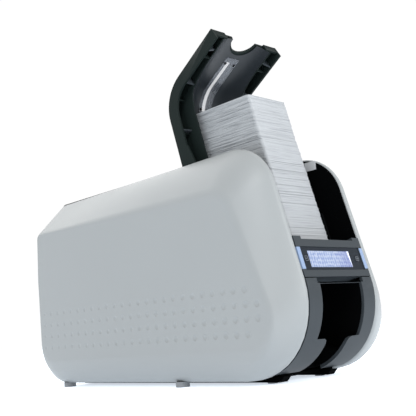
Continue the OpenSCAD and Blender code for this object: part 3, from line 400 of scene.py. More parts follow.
def display_material(name):
    """A lit display: its ground, the blurs on it and its bright edge."""
    material = moulded(name, (0.3, 0.3, 0.3), 0.3, 0.2, grain=1500, grain_depth=0.002)
    tree, shader = material.node_tree, shader_of(material)
    place = tree.nodes["Texture Coordinate"].outputs["Object"]
    split = tree.nodes.new("ShaderNodeSeparateXYZ")
    tree.links.new(place, split.inputs[0])
    x, z = split.outputs["X"], split.outputs["Z"]
    across = math_node(tree, "ADD", math_node(tree, "MULTIPLY", x, DEEPEN), DEEPEN_FROM)
    ground = blend_colour(tree, across, (0.17, 0.24, 0.36), (0.105, 0.125, 0.265))
    picture = blend_colour(tree, figure_blurs(tree, place, x, z, across), ground, (0.38, 0.41, 0.46))
    slant = math_node(tree, "ADD", x, math_node(tree, "MULTIPLY", z, EDGE_SLANT))
    edge = math_node(tree, "MULTIPLY", math_node(tree, "SUBTRACT", slant, BRIGHT_EDGE_X), EDGE_STEEP)
    picture = blend_colour(tree, edge, picture, (0.62, 0.66, 0.80))
    tree.links.new(picture, shader.inputs["Base Color"])
    tree.links.new(picture, shader.inputs["Emission Color"])
    shader.inputs["Emission Strength"].default_value = DISPLAY_GLOW
    return material


lcd_glow = display_material("lcd_glow")
print("display nodes:", len(lcd_glow.node_tree.nodes))

# %% [markdown]
# A blank card is white plastic pressed from layers. In a stack only the cut edges show, so noise that
# is stretched flat draws thin layers there, and the long sides get painted shade for the lid and walls.

# %% Card material
# where the painted shade on the long sides of the stack begins, and how quickly it comes in
LONG_EDGE_X, SIDE_SHADE_STEEP = 0.0262, 2500
LAYERS_FROM, LAYERS_STEEP = 0.52, 4.5


def card_material(name):
    """White card whose cut edges show thin layers, with painted shade on the long sides."""
    material = moulded(name, (0.40, 0.42, 0.44), 0.4, 0.3, grain=900, grain_depth=0.004,
                       drift=0.02, patch=40)
    tree = material.node_tree
    place = tree.nodes["Texture Coordinate"].outputs["Object"]
    layers = math_node(tree, "SUBTRACT", stretched_noise(tree, place, (30, 30, 1300), 3), LAYERS_FROM)
    layers = math_node(tree, "MULTIPLY", layers, LAYERS_STEEP)
    split = tree.nodes.new("ShaderNodeSeparateXYZ")
    tree.links.new(place, split.inputs[0])
    # painted shade: past LONG_EDGE_X the long sides turn darker, standing in for the shade of the lid and
    # walls
    beyond = math_node(tree, "SUBTRACT", math_node(tree, "ABSOLUTE", split.outputs["X"]), LONG_EDGE_X)
    painted_side_shade = math_node(tree, "MULTIPLY", beyond, SIDE_SHADE_STEEP)
    # the first colour is the cards' own; the second is the same card with painted shade on the long sides
    front = blend_colour(tree, layers, (0.325, 0.338, 0.350), (0.22, 0.232, 0.245))
    side = blend_colour(tree, layers, (0.305, 0.320, 0.332), (0.11, 0.12, 0.13))
    tree.links.new(blend_colour(tree, painted_side_shade, front, side), shader_of(material).inputs["Base Color"])
    return material


card_white = card_material("card_white")
print("card nodes:", len(card_white.node_tree.nodes))

# %% [markdown]
# ## Dressing the frame
# A node whose shape is right keeps its own mesh and only takes a finish, by name. A node that a new
# piece stands for takes one too, since its solid stays in the frame. A table of names is quicker to
# read than a line for each node, and the last line shows whether a node was forgotten.

# %% Finishes of the frame's own nodes
FINISH = {
    shell_grey: "left_shell right_shell",
    cover_grey: "top_cover",
    trim_dark: "front_bezel display_panel",
    lid_charcoal: "hopper_lid hinge_bridge",
    bay_black: """left_side_frame right_side_frame base_tray output_tray hopper_cradle rear_panel
        power_switch dc_jack fan_housing fan_rotor transport_guide card_gate""",
    foot_rubber: "rubber_feet",
    roller_rubber: "platen_roller front_feed_roller rear_feed_roller pick_roller eject_roller",
    belt_rubber: "drive_belt pick_belt eject_belt",
    tacky_rubber: "cleaning_roller",
    gear_white: "platen_gear ribbon_pinion",
    cassette_white: "ribbon_cassette takeup_spool",
    ribbon_dye: "ribbon_film supply_spool",
    board_green: "display_board main_board",
    steel: """lid_hinge_pins cover_hinge_pins tie_rods shell_screws front_pinch_roller eject_pinch_roller
        ribbon_motor head_pivot_rod head_springs""",
    zinc: "data_ports head_bracket",
    bronze: "motor_pinion shaft_bushes",
    motor_black: "feed_motor",
    head_dark: "print_head",
    lcd_glow: "lcd_module",
    card_white: "card_stack card_stack_upper",
    key_glow: "left_key right_key",
    window_smoke: "display_window",
    window_clear: "lid_window",
}
for material, names in FINISH.items():
    for name in names.split():
        nodes[name].data.materials.clear()
        nodes[name].data.materials.append(material)
left_over = set(nodes) - {name for names in FINISH.values() for name in names.split()}
print("nodes with no finish:", left_over)

# %% [markdown]
# ## Modelling helpers
# An operator acts on whatever is selected, as a tool does in the viewport. So each piece is picked
# first, and edit mode is opened and closed around the steps that need it.

# %% Picking and editing
MERGE_WITHIN = 0.02


def deselect():
    """Leaves edit mode and selects nothing."""
    if bpy.context.mode != "OBJECT":
        bpy.ops.object.mode_set(mode="OBJECT")
    bpy.ops.object.select_all(action="DESELECT")


def pick(*pieces):
    """Selects these pieces only and makes the first one active."""
    deselect()
    for piece in pieces:
        piece.select_set(True)
    bpy.context.view_layer.objects.active = pieces[0]


def settle(piece):
    """Writes a piece's place, turn and size into its points."""
    pick(piece)
    bpy.ops.object.transform_apply(location=True, rotation=True, scale=True)


def in_edit(obj, *steps):
    """Opens a piece, selects all of it and takes each step, a function without arguments."""
    pick(obj)
    bpy.ops.object.mode_set(mode="EDIT")
    bpy.ops.mesh.select_all(action="SELECT")
    for step in steps:
        step()
    bpy.ops.object.mode_set(mode="OBJECT")


def turn_out():
    """Turns every face outwards."""
    bpy.ops.mesh.select_all(action="SELECT")
    bpy.ops.mesh.normals_make_consistent(inside=False)


def merge():
    """Makes one point of points that lie together."""
    bpy.ops.mesh.select_all(action="SELECT")
    bpy.ops.mesh.remove_doubles(threshold=MERGE_WITHIN * MM)


def fill():
    """Closes the open ends."""
    bpy.ops.mesh.fill_holes(sides=0)


print("points nearer than", MERGE_WITHIN, "mm are merged")

# %% [markdown]
# Curved mouldings could be pushed into shape point by point. A skin is surer: it starts as a grid
# whose points go where a function of two numbers says, u along the rows and v across them. Then the
# seam is merged, the open ends are filled and the faces are turned out.

# %% Skins, modifiers and shading
HARD_ANGLE = 35


def skin(name, columns, rows, place, closing=(merge, fill, turn_out)):
    """A grid whose points go where place(u, v) says, in millimetres; u and v run from 0 to 1."""
    deselect()
    bpy.ops.mesh.primitive_grid_add(x_subdivisions=columns, y_subdivisions=rows, size=1)
    obj = bpy.context.object
    obj.name = name
    for vertex in obj.data.vertices:
        vertex.co = Vector(place(vertex.co.x + 0.5, vertex.co.y + 0.5)) * MM
    in_edit(obj, *closing)
    return obj


def apply_modifier(obj, kind, **settings):
    """Adds a modifier with these settings and applies it."""
    pick(obj)
    modifier = obj.modifiers.new(kind.lower(), kind)
    for key, value in settings.items():
        setattr(modifier, key, value)
    bpy.ops.object.modifier_apply(modifier=modifier.name)


def cut_away(obj, cutter):
    """Cuts one piece's shape out of another and removes the cutter."""
    apply_modifier(obj, "BOOLEAN", operation="DIFFERENCE", solver="EXACT", object=cutter)
    bpy.data.objects.remove(cutter)


def smooth(obj, angle):
    """Smooth shading, except over edges that turn by more than this many degrees."""
    pick(obj)
    bpy.ops.object.shade_smooth_by_angle(angle=math.radians(angle))


def joined(name, parts):
    """Several pieces as one."""
    pick(*parts)
    bpy.ops.object.join()
    parts[0].name = name
    return parts[0]


print("edges sharper than", HARD_ANGLE, "degrees stay hard")

# %% [markdown]
# A finished piece is handed over: it takes its finish, it rides on one of the machine's bodies so
# that it moves with it, and the solids that it stands for are hidden.

# %% Handing a piece over
def finished(obj, material, body, *stands_for, slot=None):
    """Gives a piece its material and its body, and hides the nodes that it stands for."""
    obj.data.materials.clear()
    obj.data.materials.append(material)
    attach(obj, body)
    if stands_for:
        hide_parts(*stands_for)
    return obj


# %% [markdown]
# ## Side shells
# The shells are the large grey mouldings at the sides: a flat face with a soft crease around it, a
# slope out to the rim beside the bay, and a round belly. A box with bevelled edges would be a start,
# but every edge rolls by another amount, so each shell is a loft. Five circles joined by straight
# lines make a ring, at the rim and again at the face; between them the circles move and shrink.

# %% Measures of the shells
BAY_HALF, DEPTH, WALL = 47, 39, 2.6
RIM_R, RIM_DEEP, RIM_STEPS = 2.5, 6.5, 8
FACE_Y, TAPER = 172, 8 / 335
BELLY_START, BELLY_TURN = 1 - 24 / DEPTH, 0.9
RIM_FRONT, FACE_FRONT, RIM_LOW, FACE_LOW = -180, -163, 4, 26
# Each circle is the y and z of its middle and its radius: nose, heel, back, rear corner and brow.
RIM = [(-114, 70, 66), (158, 24, 20), (120, 120, 60), (170.5, 203, 8), (-107.3, 161, 50)]
FACE = [(-134, 55, 29), (154, 50, 24), (149.5, 120, 30), (171, 166, 6), (-103.8, 144, 25)]
SOFT = [6, 5, 3, 1.2, 4.5]  # how far the crease round the face is rounded at each circle
CREASE_END, CREASE_STEPS = 0.925, 10
NOSE_POWER, BROW_POWER = 1.5, 1.6
print("a shell is", DEPTH, "mm deep and its wall", WALL, "mm thick")

# %% [markdown]
# Between rim and face the nose draws in at the front first and under the belly last. An even blend of
# the two rings would make a plain slope, so powers and an arc bend the way between them.

# %% Circles at each depth
def mix(a, b, t):
    """The number between a and b at share t."""
    return a + (b - a) * t


def mixed(a, b, t):
    """Each number of one row mixed with its partner in the other."""
    return tuple(mix(p, q, t) for p, q in zip(a, b))


def belly(s):
    """How far the underside has drawn in: an arc that stops a little short of a quarter turn."""
    if s <= BELLY_START:
        return 0
    turn = BELLY_TURN * (s - BELLY_START) / (1 - BELLY_START)
    return (1 - math.sqrt(1 - turn ** 2)) / (1 - math.sqrt(1 - BELLY_TURN ** 2))


def nose(s):
    """The front lower circle, which keeps to the machine's front and underside as they draw in."""
    ahead, under = s ** NOSE_POWER, belly(s)
    radius = mix(RIM[0][2], FACE[0][2], (ahead + under) / 2)
    return (mix(RIM_FRONT, FACE_FRONT, ahead) + radius, mix(RIM_LOW, FACE_LOW, under) + radius, radius)


def circles_at(s):
    """The five circles at depth s, which is 0 at the rim and 1 at the face."""
    weights = (0, belly(s), s, s, s ** BROW_POWER)
    return [nose(s)] + [mixed(RIM[i], FACE[i], weights[i]) for i in range(1, 5)]


print("nose at the face:", [round(v, 1) for v in nose(1)])

# %% [markdown]
# A ring needs the same count of points at every depth, or a loft can't join them. So each arc and
# each line between two circles has its own fixed count. The face leans in towards the front.

# %% Rings of points
ARC, LINE = 12, 10


def tangent(a, b):
    """The angle at which a line rests on the right of two circles."""
    run, rise = b[0] - a[0], b[1] - a[1]
    return math.atan2(rise, run) - math.acos((a[2] - b[2]) / math.hypot(run, rise))


def ring(circles, inset=0):
    """A closed ring over the circles, with equal counts of points on every arc and line."""
    ends = []
    for i, circle in enumerate(circles):
        start, stop = tangent(circles[i - 1], circle), tangent(circle, circles[(i + 1) % 5])
        stop += 2 * math.pi * (stop < start)
        cut = inset[i] if isinstance(inset, list) else inset
        turns, radius = [mix(start, stop, k / ARC) for k in range(ARC + 1)], circle[2] - cut
        ends.append([(circle[0] + radius * math.cos(turn), circle[1] + radius * math.sin(turn))
                     for turn in turns])
    points = []
    for i, arc in enumerate(ends):
        following = ends[(i + 1) % 5][0]
        points += arc + [mixed(arc[-1], following, k / (LINE + 1)) for k in range(1, LINE + 1)]
    return points


def section(s, inset=0, depth=DEPTH):
    """A ring at depth s, placed in space."""
    return [(BAY_HALF + depth * s - TAPER * s * (FACE_Y - y), y, z) for y, z in ring(circles_at(s), inset)]


def rounded_corner(before, corner, after, count):
    """Rings that turn a corner on a curve instead of an edge."""
    rings = []
    for k in range(count + 1):
        t = k / count
        rings.append([tuple((1 - t) ** 2 * a + 2 * t * (1 - t) * b + t * t * c for a, b, c in zip(p, q, r))
                      for p, q, r in zip(before, corner, after)])
    return rings


print("points in a ring:", len(ring(RIM)))

# %% [markdown]
# A loft is a grid wrapped round the rings. Its rows run over the crease, along the outer side, round
# the lip at the bay and back along the inner side, and its two open ends are filled. The inner side
# could be left out, but the shells stand open to the bay and a sheet without thickness shows it.

# %% Lofting the shells
OUTER_AT = (0.88, 0.8, 0.72, 0.64, 0.56, 0.48, 0.4, 0.32, 0.24, 0.17)
INNER_AT = (0, 0.06, 0.2, 0.4, 0.6, 0.75, 0.86, 0.94, 0.98, 1)


def shell_rows():
    """Every ring of a shell, from the middle of its face over the rim to its inner face."""
    crease = rounded_corner(section(1, SOFT), section(1), section(CREASE_END), CREASE_STEPS)
    outer = [section(s) for s in OUTER_AT]
    lip = []
    for k in range(RIM_STEPS + 1):
        turn = math.radians(90 * k / RIM_STEPS)
        lip.append(section(RIM_DEEP / DEPTH * (1 - math.sin(turn)), RIM_R * (1 - math.cos(turn))))
    inner = [section(s, WALL, DEPTH - WALL) for s in INNER_AT]
    return crease + outer + lip + inner


def lofted(name, rows, side):
    """A skin over rings of points, mirrored to the left where side is -1."""
    count = len(rows[0])

    def place(u, v):
        x, y, z = rows[round(v * (len(rows) - 1))][round(u * count) % count]
        return (side * x, y, z)
    return skin(name, count, len(rows) - 1, place)


print("rings in a shell:", len(shell_rows()))

# %% [markdown]
# Four rows of dimples run along each face. They are widest at the front and fade towards the back.
# A bump in the material is less work, but the face would stay flat where it is seen from the side.
# Here a dimple is the cap that a small ball leaves where it is cut from the face.

# %% Dimples
DIMPLE_ROWS = [(81.0, 1), (68.7, 0), (56.6, 0), (44.1, 1)]
DIMPLE_FIRST, DIMPLE_PITCH, DIMPLE_COUNT = -149.3, 12.62, 26
DIMPLE_HALF, DIMPLE_DEEP = (3.4, 2.4), (1.05, 0.45)
BALL_RINGS = 24


def face_x(y):
    """How far out the flat face stands at this y."""
    return BAY_HALF + DEPTH - TAPER * (FACE_Y - y)


def dimple_balls(side):
    """The balls that cut one face, as a single piece; each has a pole where it touches the face."""
    balls = []
    for z, first in DIMPLE_ROWS:
        for k in range(first, DIMPLE_COUNT):
            fade = k / (DIMPLE_COUNT - 1)
            half, deep = mix(*DIMPLE_HALF, fade), mix(*DIMPLE_DEEP, fade)
            radius = (half ** 2 + deep ** 2) / (2 * deep)
            y = DIMPLE_FIRST + DIMPLE_PITCH * k
            deselect()
            at = Vector((side * (face_x(y) + radius - deep), y, z)) * MM
            bpy.ops.mesh.primitive_uv_sphere_add(segments=BALL_RINGS, ring_count=BALL_RINGS,
                                                 radius=radius * MM, location=at,
                                                 rotation=(0, math.pi / 2, 0))
            balls.append(bpy.context.object)
    cutter = joined("dimple_balls", balls)
    settle(cutter)
    return cutter


print("dimples on a face:", sum(DIMPLE_COUNT - first for _, first in DIMPLE_ROWS))

# %% [markdown]
# The right shell mirrors the left one, so one loop makes both. All balls of a face are cut in one step,
# with the exact solver, which is slower than the fast one but stays clean over so many cuts.

# %% Both shells
for side, node in ((-1, "left_shell"), (1, "right_shell")):
    shell = lofted(node.replace("shell", "side_cover"), shell_rows(), side)
    cut_away(shell, dimple_balls(side))
    smooth(shell, 50)
    apply_modifier(shell, "WEIGHTED_NORMAL", keep_sharp=True, weight=60)
    finished(shell, shell_grey, "chassis", node, slot="shell_grey")
    print(shell.name, "faces:", len(shell.data.polygons))

# %% [markdown]
# ## The cards
# About 210 blank cards stand in the hopper. A block with a striped material would pass from afar, but
# a real stack is never quite even. So one card is modelled, with its rounded corners, and copied;
# each copy sits a little out of true, and now and then a gap or a shifted group shows. The upper
# cards are a piece of their own, because they are lifted out before the lid can shut.

# %% One card
CARD_L, CARD_W, CARD_R, CARD_STEP, AIR = 85.6, 54, 3.18, 0.76, 0.1
HOPPER_Z, STACK_Y, STACK_LEAN = 98.8, -156.4, math.tan(math.radians(14.4))
SPLIT_Z, SPLIT_GAP, STACK_TOP = 174.8, 0.3, 266


def card_blank(thickness):
    """A card lying on z 0 about the origin: a rectangle with its corners rounded, given its thickness."""
    deselect()
    bpy.ops.mesh.primitive_plane_add(size=1)
    card = bpy.context.object
    card.scale = (CARD_W * MM, CARD_L * MM, 1)
    settle(card)
    upwards = {"value": (0, 0, thickness * MM)}
    in_edit(card,
            lambda: bpy.ops.mesh.bevel(offset=CARD_R * MM, segments=5, affect="VERTICES"),
            lambda: bpy.ops.mesh.extrude_region_move(TRANSFORM_OT_translate=upwards),
            turn_out)
    return card


print("a card is", CARD_L, "x", CARD_W, "x", round(CARD_STEP - AIR, 2), "mm, with", AIR, "mm of air")

# %% [markdown]
# Each card drifts a little from the one below it and jitters on its own. The draws have a seed, so
# every run gives the same pile, and the pile is stretched a little to end at its full height.

# %% Piles of cards
GROUP_SHARE, GROUP_SHIFT, GROUP_HOLD = 0.05, 0.5, 0.8  # now and then a group lies off to one side
GAP_SHARE, GAP = 0.07, 0.22
DRIFT, JITTER_X, JITTER_Y = 0.12, 0.19, 0.13
MOST_X, MOST_Y = 0.9, 0.5


def within(most, value):
    """The value, but no farther from zero than most."""
    return max(-most, min(most, value))


def card_pile(name, low, high, body, node, seed):
    """Copies of one card from low to high, each a little out of true, as one piece."""
    chance = random.Random(seed)
    blank = card_blank(CARD_STEP - AIR)
    cards, drift_x, z = [], 0, low
    while z < high - CARD_STEP:
        drift_x = GROUP_HOLD * drift_x + chance.gauss(0, DRIFT)
        if chance.random() < GROUP_SHARE:
            drift_x = chance.uniform(-GROUP_SHIFT, GROUP_SHIFT)
        x = within(MOST_X, drift_x + chance.gauss(0, JITTER_X))
        lean = (z - HOPPER_Z) * STACK_LEAN
        y = STACK_Y + CARD_L / 2 + lean + within(MOST_Y, chance.gauss(0, JITTER_Y))
        card = blank.copy()
        card.data = blank.data.copy()
        bpy.context.collection.objects.link(card)
        card.location = Vector((x, y, z)) * MM
        cards.append(card)
        z += CARD_STEP + (GAP if chance.random() < GAP_SHARE else 0)
    spread = (high - low) / (z - low)  # so that the pile ends at its full height
    for card in cards:
        card.location.z = (low + (card.location.z / MM - low) * spread) * MM
    bpy.data.objects.remove(blank)
    pile = joined(name, cards)
    settle(pile)
    smooth(pile, 40)
    print(name, "has", len(cards), "cards")
    return finished(pile, card_white, body, node, slot="card_white")


lower_cards = card_pile("cards_in_hopper", HOPPER_Z, SPLIT_Z, "chassis", "card_stack", 7)
upper_cards = card_pile("cards_above", SPLIT_Z + SPLIT_GAP, STACK_TOP, "surplus_cards",
                        "card_stack_upper", 12)
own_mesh(upper_cards)
print("faces of the cards:", len(lower_cards.data.polygons) + len(upper_cards.data.polygons))

# %% [markdown]
# ## The hopper lid
# The lid is a bent charcoal cover that stands open behind the cards. Its inner side is a dished trough
# between two rails, with a clear insert in the middle that shows how many cards are left. The new
# pieces are drawn on the shut lid, where the measures are simple, and turned open about its pins.

# %% The lid's own line
HINGE_Y, HINGE_Z, LID_Z, LID_OPEN = -47.7419, 199.9, 208.3, math.radians(104.4)
BEND_Y, BEND_Z, BEND_R = -112.64, 170.1, 38.2
LID_LEAN = math.radians(17.6)
TIP = (-167.371, 123.9)
HINGE_CLEAR = 6


def opened(x, y, z):
    """A point of the shut lid, where it stands with the lid open."""
    dy, dz = y - HINGE_Y, z - HINGE_Z
    return (x, HINGE_Y + dy * math.cos(LID_OPEN) + dz * math.sin(LID_OPEN),
            HINGE_Z - dy * math.sin(LID_OPEN) + dz * math.cos(LID_OPEN))


def on_bend(turn, depth):
    """(y, z) on the lid's bend, at an angle and a depth below its outer side."""
    return (BEND_Y + (BEND_R - depth) * math.cos(turn), BEND_Z + (BEND_R - depth) * math.sin(turn))


def lid_station(t, depth):
    """(y, z) on the shut lid: t is 0 at the free end, 1 and 2 at the ends of the bend, 3 at the hinge."""
    if t < 1:
        tip = (TIP[0] + depth * math.cos(LID_LEAN), TIP[1] - depth * math.sin(LID_LEAN))
        return mixed(tip, on_bend(math.pi - LID_LEAN, depth), t)
    if t < 2:
        return on_bend(mix(math.pi - LID_LEAN, math.pi / 2, t - 1), depth)
    return (mix(BEND_Y, HINGE_Y - HINGE_CLEAR, t - 2), LID_Z - depth)


print("the lid's tip stands at", [round(v, 1) for v in opened(0, *TIP)])

# %% [markdown]
# The rails and the trough share one list of places along the lid. A rail is a thin wall, low at the
# free end and tall beside the bend, where it keeps the cards off the lid's sides. An extrusion along
# a curve would have one height throughout; a skin can ask for the height at each place.

# %% Lid rails
RAIL_X, RAIL_T, RAIL_FOOT, RAIL_EDGE = 33.0, 1.3, 9, 0.3
RAIL_DEEP, RAIL_RISE_FROM, RAIL_RISE = (9.6, 24.5), 0.45, 1.35
FLAT_STEPS, BEND_STEPS, BACK_STEPS = 12, 14, 10
ALONG = ([mix(0.03, 1, k / FLAT_STEPS) for k in range(FLAT_STEPS + 1)]
         + [1 + k / BEND_STEPS for k in range(1, BEND_STEPS + 1)]
         + [2 + k / BACK_STEPS for k in range(1, BACK_STEPS + 1)])


def rail_depth(t):
    """The rails are low at the free end and tall beside the bend and the hinge."""
    rise = max(0, min(1, (t - RAIL_RISE_FROM) / RAIL_RISE))
    return mix(*RAIL_DEEP, rise * rise * (3 - 2 * rise))


def rail_point(side):
    """The outline of a rail: up its outer side, over its edge and down to the trough."""
    outer = RAIL_X + RAIL_T
    across = (outer, outer, outer - RAIL_EDGE, RAIL_X + RAIL_EDGE, RAIL_X, RAIL_X)

    def place(u, v):
        k = round(v * len(across)) % len(across)
        t = ALONG[round(u * (len(ALONG) - 1))]
        edge = rail_depth(t)
        depths = (RAIL_FOOT, edge - RAIL_EDGE, edge, edge, edge - RAIL_EDGE, RAIL_FOOT)
        return opened(side * across[k], *lid_station(t, depths[k]))
    return place


for side, name in ((-1, "lid_rail_left"), (1, "lid_rail_right")):
    rail = skin(name, len(ALONG) - 1, 6, rail_point(side))
    smooth(rail, HARD_ANGLE)
    finished(rail, lid_charcoal, "hopper_lid", slot="lid_charcoal")
    print(rail.name, "faces:", len(rail.data.polygons))

# %% [markdown]
# Thin ribs tie each rail to the lid's side wall and keep it from bending. Each is a small plate, made
# as a skin like the rail, so that it follows the lid's line by itself.

# %% Ribs
RIB_T, RIB_HALF = (0.27, 0.95, 2.28), 0.012
RIB_FOOT, RIB_TALL, RIB_MOST = 3, 12.5, 15
WALL_X = 44.3


def rib_point(side, t):
    """A thin plate between the rail and the side wall; the long way round is u."""
    inner = RAIL_X + RAIL_T
    corners = ((inner, RIB_FOOT), (WALL_X, RIB_FOOT), (WALL_X, RIB_TALL),
               (inner, min(rail_depth(t), RIB_MOST) - 1))

    def place(u, v):
        x, depth = corners[round(u * 4) % 4]
        return opened(side * x, *lid_station(t + (v - 0.5) * 2 * RIB_HALF, depth))
    return place


ribs = [skin("rib", 4, 1, rib_point(side, t)) for side in (-1, 1) for t in RIB_T]
print("ribs:", len(ribs))
# The ribs take the paler dark trim instead of the lid's charcoal: a painted highlight for the light that
# catches their edges.
finished(joined("lid_ribs", ribs), trim_dark, "hopper_lid", slot="lid_charcoal")

# %% [markdown]
# The trough guides the cards between the rails. It could be cut out of a block, but it is a thin
# moulding, so it starts as a bare sheet that follows the lid's line and climbs at its sides.

# %% Dished sheet
INSERT_HALF, INSERT_T = 8.7, (0.44, 1.87)
DISH_DEPTH, DISH_SHORT, DISH_POWER = 3.0, 3.4, 3
HALF_ACROSS = (4, INSERT_HALF, 12, 16, 20, 24, 27, 29.5, 31.5, RAIL_X)
ACROSS = [-x for x in reversed(HALF_ACROSS)] + [0, *HALF_ACROSS]


def dish(x, t):
    """The trough is flat in the middle and climbs to the rails at its sides."""
    return DISH_DEPTH + (rail_depth(t) - DISH_SHORT) * (abs(x) / RAIL_X) ** DISH_POWER


def trough_point(u, v):
    """A point of the trough: u runs along the lid and v across it."""
    x = ACROSS[round(v * (len(ACROSS) - 1))]
    t = ALONG[round(u * (len(ALONG) - 1))]
    return opened(x, *lid_station(t, dish(x, t)))


trough = skin("lid_trough", len(ALONG) - 1, len(ACROSS) - 1, trough_point, closing=(merge,))
print("sheet faces:", len(trough.data.polygons))

# %% [markdown]
# The sheet is open over the clear insert. Its faces are deleted there, which is cleaner than a cut,
# because the opening's sides follow the grid. Then the sheet is given its thickness.

# %% Opening over the insert
SHEET_T = 0.45


def select_faces(obj, wanted):
    """Selects, in face mode, the faces whose middle passes a test; the place is in millimetres."""
    bpy.ops.mesh.select_mode(type="FACE")
    bpy.ops.mesh.select_all(action="DESELECT")
    bpy.ops.object.mode_set(mode="OBJECT")
    for face in obj.data.polygons:
        face.select = wanted(face.center / MM)
    bpy.ops.object.mode_set(mode="EDIT")


def over_insert(middle):
    """Whether a face lies over the clear insert."""
    return abs(middle.x) < INSERT_HALF and insert_low < middle.z < insert_high


insert_high, insert_low = (opened(0, *lid_station(t, DISH_DEPTH))[2] for t in INSERT_T)
in_edit(trough, lambda: select_faces(trough, over_insert), lambda: bpy.ops.mesh.delete(type="FACE"))
apply_modifier(trough, "SOLIDIFY", thickness=SHEET_T * MM, offset=0)
print("the opening is", round(insert_high - insert_low, 1), "mm high")

# %% [markdown]
# A round notch at the free end leaves room for a thumb. A cylinder cuts it.

# %% Thumb notch
NOTCH_R, NOTCH_LONG, NOTCH_SHIFT = 17, 60, 1.5
deselect()
notch_y, notch_z = TIP[0] + NOTCH_SHIFT * math.sin(LID_LEAN), TIP[1] + NOTCH_SHIFT * math.cos(LID_LEAN)
bpy.ops.mesh.primitive_cylinder_add(vertices=96, radius=NOTCH_R * MM, depth=NOTCH_LONG * MM,
                                    location=Vector(opened(0, notch_y, notch_z)) * MM,
                                    rotation=(math.pi / 2 - LID_LEAN - LID_OPEN, 0, 0))
cut_away(trough, bpy.context.object)
in_edit(trough, turn_out)
smooth(trough, 40)
finished(trough, trough_slate, "hopper_lid", slot="lid_charcoal")
print("trough faces:", len(trough.data.polygons))

# %% [markdown]
# Four heat stakes hold the clear insert: plastic pegs whose heads were melted flat. A flattened ball
# that sinks halfway into the insert looks the same as a peg with a melted head.

# %% Heat stakes
STAKE_R, STAKE_FLAT, STAKE_DEPTH = 1.5, 0.45, 4.1
STAKE_X, STAKE_T = (-5.9, 5.9), (0.5, 1.62)


def heat_stake(x, t):
    """A flattened ball on the insert, turned to lie along the lid."""
    deselect()
    bpy.ops.mesh.primitive_uv_sphere_add(segments=20, ring_count=12, radius=STAKE_R * MM)
    stake = bpy.context.object
    stake.scale = (1, 1, STAKE_FLAT)
    stake.location = Vector(opened(x, *lid_station(t, STAKE_DEPTH))) * MM
    behind, ahead = (Vector(opened(x, *lid_station(t + d, STAKE_DEPTH))) for d in (-0.01, 0.01))
    along = (ahead - behind).normalized()
    stake.rotation_euler = along.cross(Vector((1, 0, 0))).to_track_quat("Z", "X").to_euler()
    return stake


stakes = joined("insert_stakes", [heat_stake(x, t) for x in STAKE_X for t in STAKE_T])
settle(stakes)
smooth(stakes, 60)
finished(stakes, bay_black, "hopper_lid", slot="lid_charcoal")
print("stakes:", len(STAKE_X) * len(STAKE_T))

# %% [markdown]
# ## Mouldings
# The dark trims, the rear cover and the keys have the right shape in the frame, but no moulding has
# a sharp edge. They could be modelled again; instead each is copied, its flat faces are cleaned, and
# a bevel rounds its edges. Weighted normals then keep the large faces flat to the eye.

# %% A softened copy
FLAT_ANGLE, EDGE_ANGLE, EDGE_SEGMENTS = 1, 32, 3


def softened(node, material, radius):
    """A copy of a node whose hard edges are rounded, as a moulding's are."""
    source = nodes[node]
    pick(source)
    bpy.ops.object.duplicate()
    obj = bpy.context.object
    obj.name = node + "_moulded"
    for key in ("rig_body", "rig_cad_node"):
        if key in obj:
            del obj[key]
    obj.parent = None
    in_edit(obj, merge, lambda: bpy.ops.mesh.dissolve_limited(angle_limit=math.radians(FLAT_ANGLE)))
    apply_modifier(obj, "BEVEL", width=radius * MM, segments=EDGE_SEGMENTS, limit_method="ANGLE",
                   angle_limit=math.radians(EDGE_ANGLE), harden_normals=False)
    smooth(obj, HARD_ANGLE)
    apply_modifier(obj, "WEIGHTED_NORMAL", keep_sharp=True)
    return finished(obj, material, source["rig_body"], node)


print("edges over", EDGE_ANGLE, "degrees are rounded")

# %% [markdown]
# A thick moulding takes a larger radius than a thin one, whose bevels would run into each other.

# %% Softened trims
EDGE_RADII = {"front_bezel": 0.6, "display_panel": 0.5, "hinge_bridge": 0.5, "hopper_lid": 0.35,
              "top_cover": 0.8, "rear_panel": 0.3, "hopper_cradle": 0.4, "base_tray": 0.6,
              "left_key": 0.4, "right_key": 0.4}
for name, radius in EDGE_RADII.items():
    piece = softened(name, nodes[name].data.materials[0], radius)
    print(piece.name, len(piece.data.polygons))

# %% [markdown]
# Two coil springs press the print head down. They stand under the cassette's plate and shorten as the
# head is lifted. A screw modifier could turn a circle into a coil; a skin does the same in one step.

# %% Head springs
spring_low, spring_high = (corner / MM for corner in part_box("head_springs"))
SPRING_TURNS, SPRING_R, WIRE_R, SPRING_INSET = 5, 3.4, 0.5, 0.6
spring_x = spring_high.x - SPRING_R - SPRING_INSET
spring_y = (spring_low.y + spring_high.y) / 2


def coil_point(x):
    """A round wire that climbs in a screw: u runs along it and v round it."""
    def place(u, v):
        turn, around = 2 * math.pi * SPRING_TURNS * u, 2 * math.pi * v
        radius = SPRING_R + WIRE_R * math.cos(around)
        height = mix(spring_low.z + WIRE_R, spring_high.z - WIRE_R, u) + WIRE_R * math.sin(around)
        return (x + radius * math.cos(turn), spring_y + radius * math.sin(turn), height)
    return place


coils = joined("head_coils", [skin("coil", 120, 10, coil_point(x)) for x in (-spring_x, spring_x)])
smooth(coils, 60)
finished(coils, zinc, "rear_cover", "head_springs")
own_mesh(coils)
print("springs:", round(spring_high.z - spring_low.z, 1), "mm long")

# %% [markdown]
# The display's panel leans back, so places on it are given across, down the slope and into it. Below
# it the cross bar of the front trim is set back behind the rails, and a dark seam stays above the bar.
# The bar could be moved point by point; a block that is cut away gives a clean step at once.

# %% Recess below the display
PANEL_LEAN, PANEL_Y, PANEL_Z = math.radians(14.3), -167.712, 123.25
RECESS = ((-32.6, 32.6), (37.4, 42.5), (-3, 3.4))


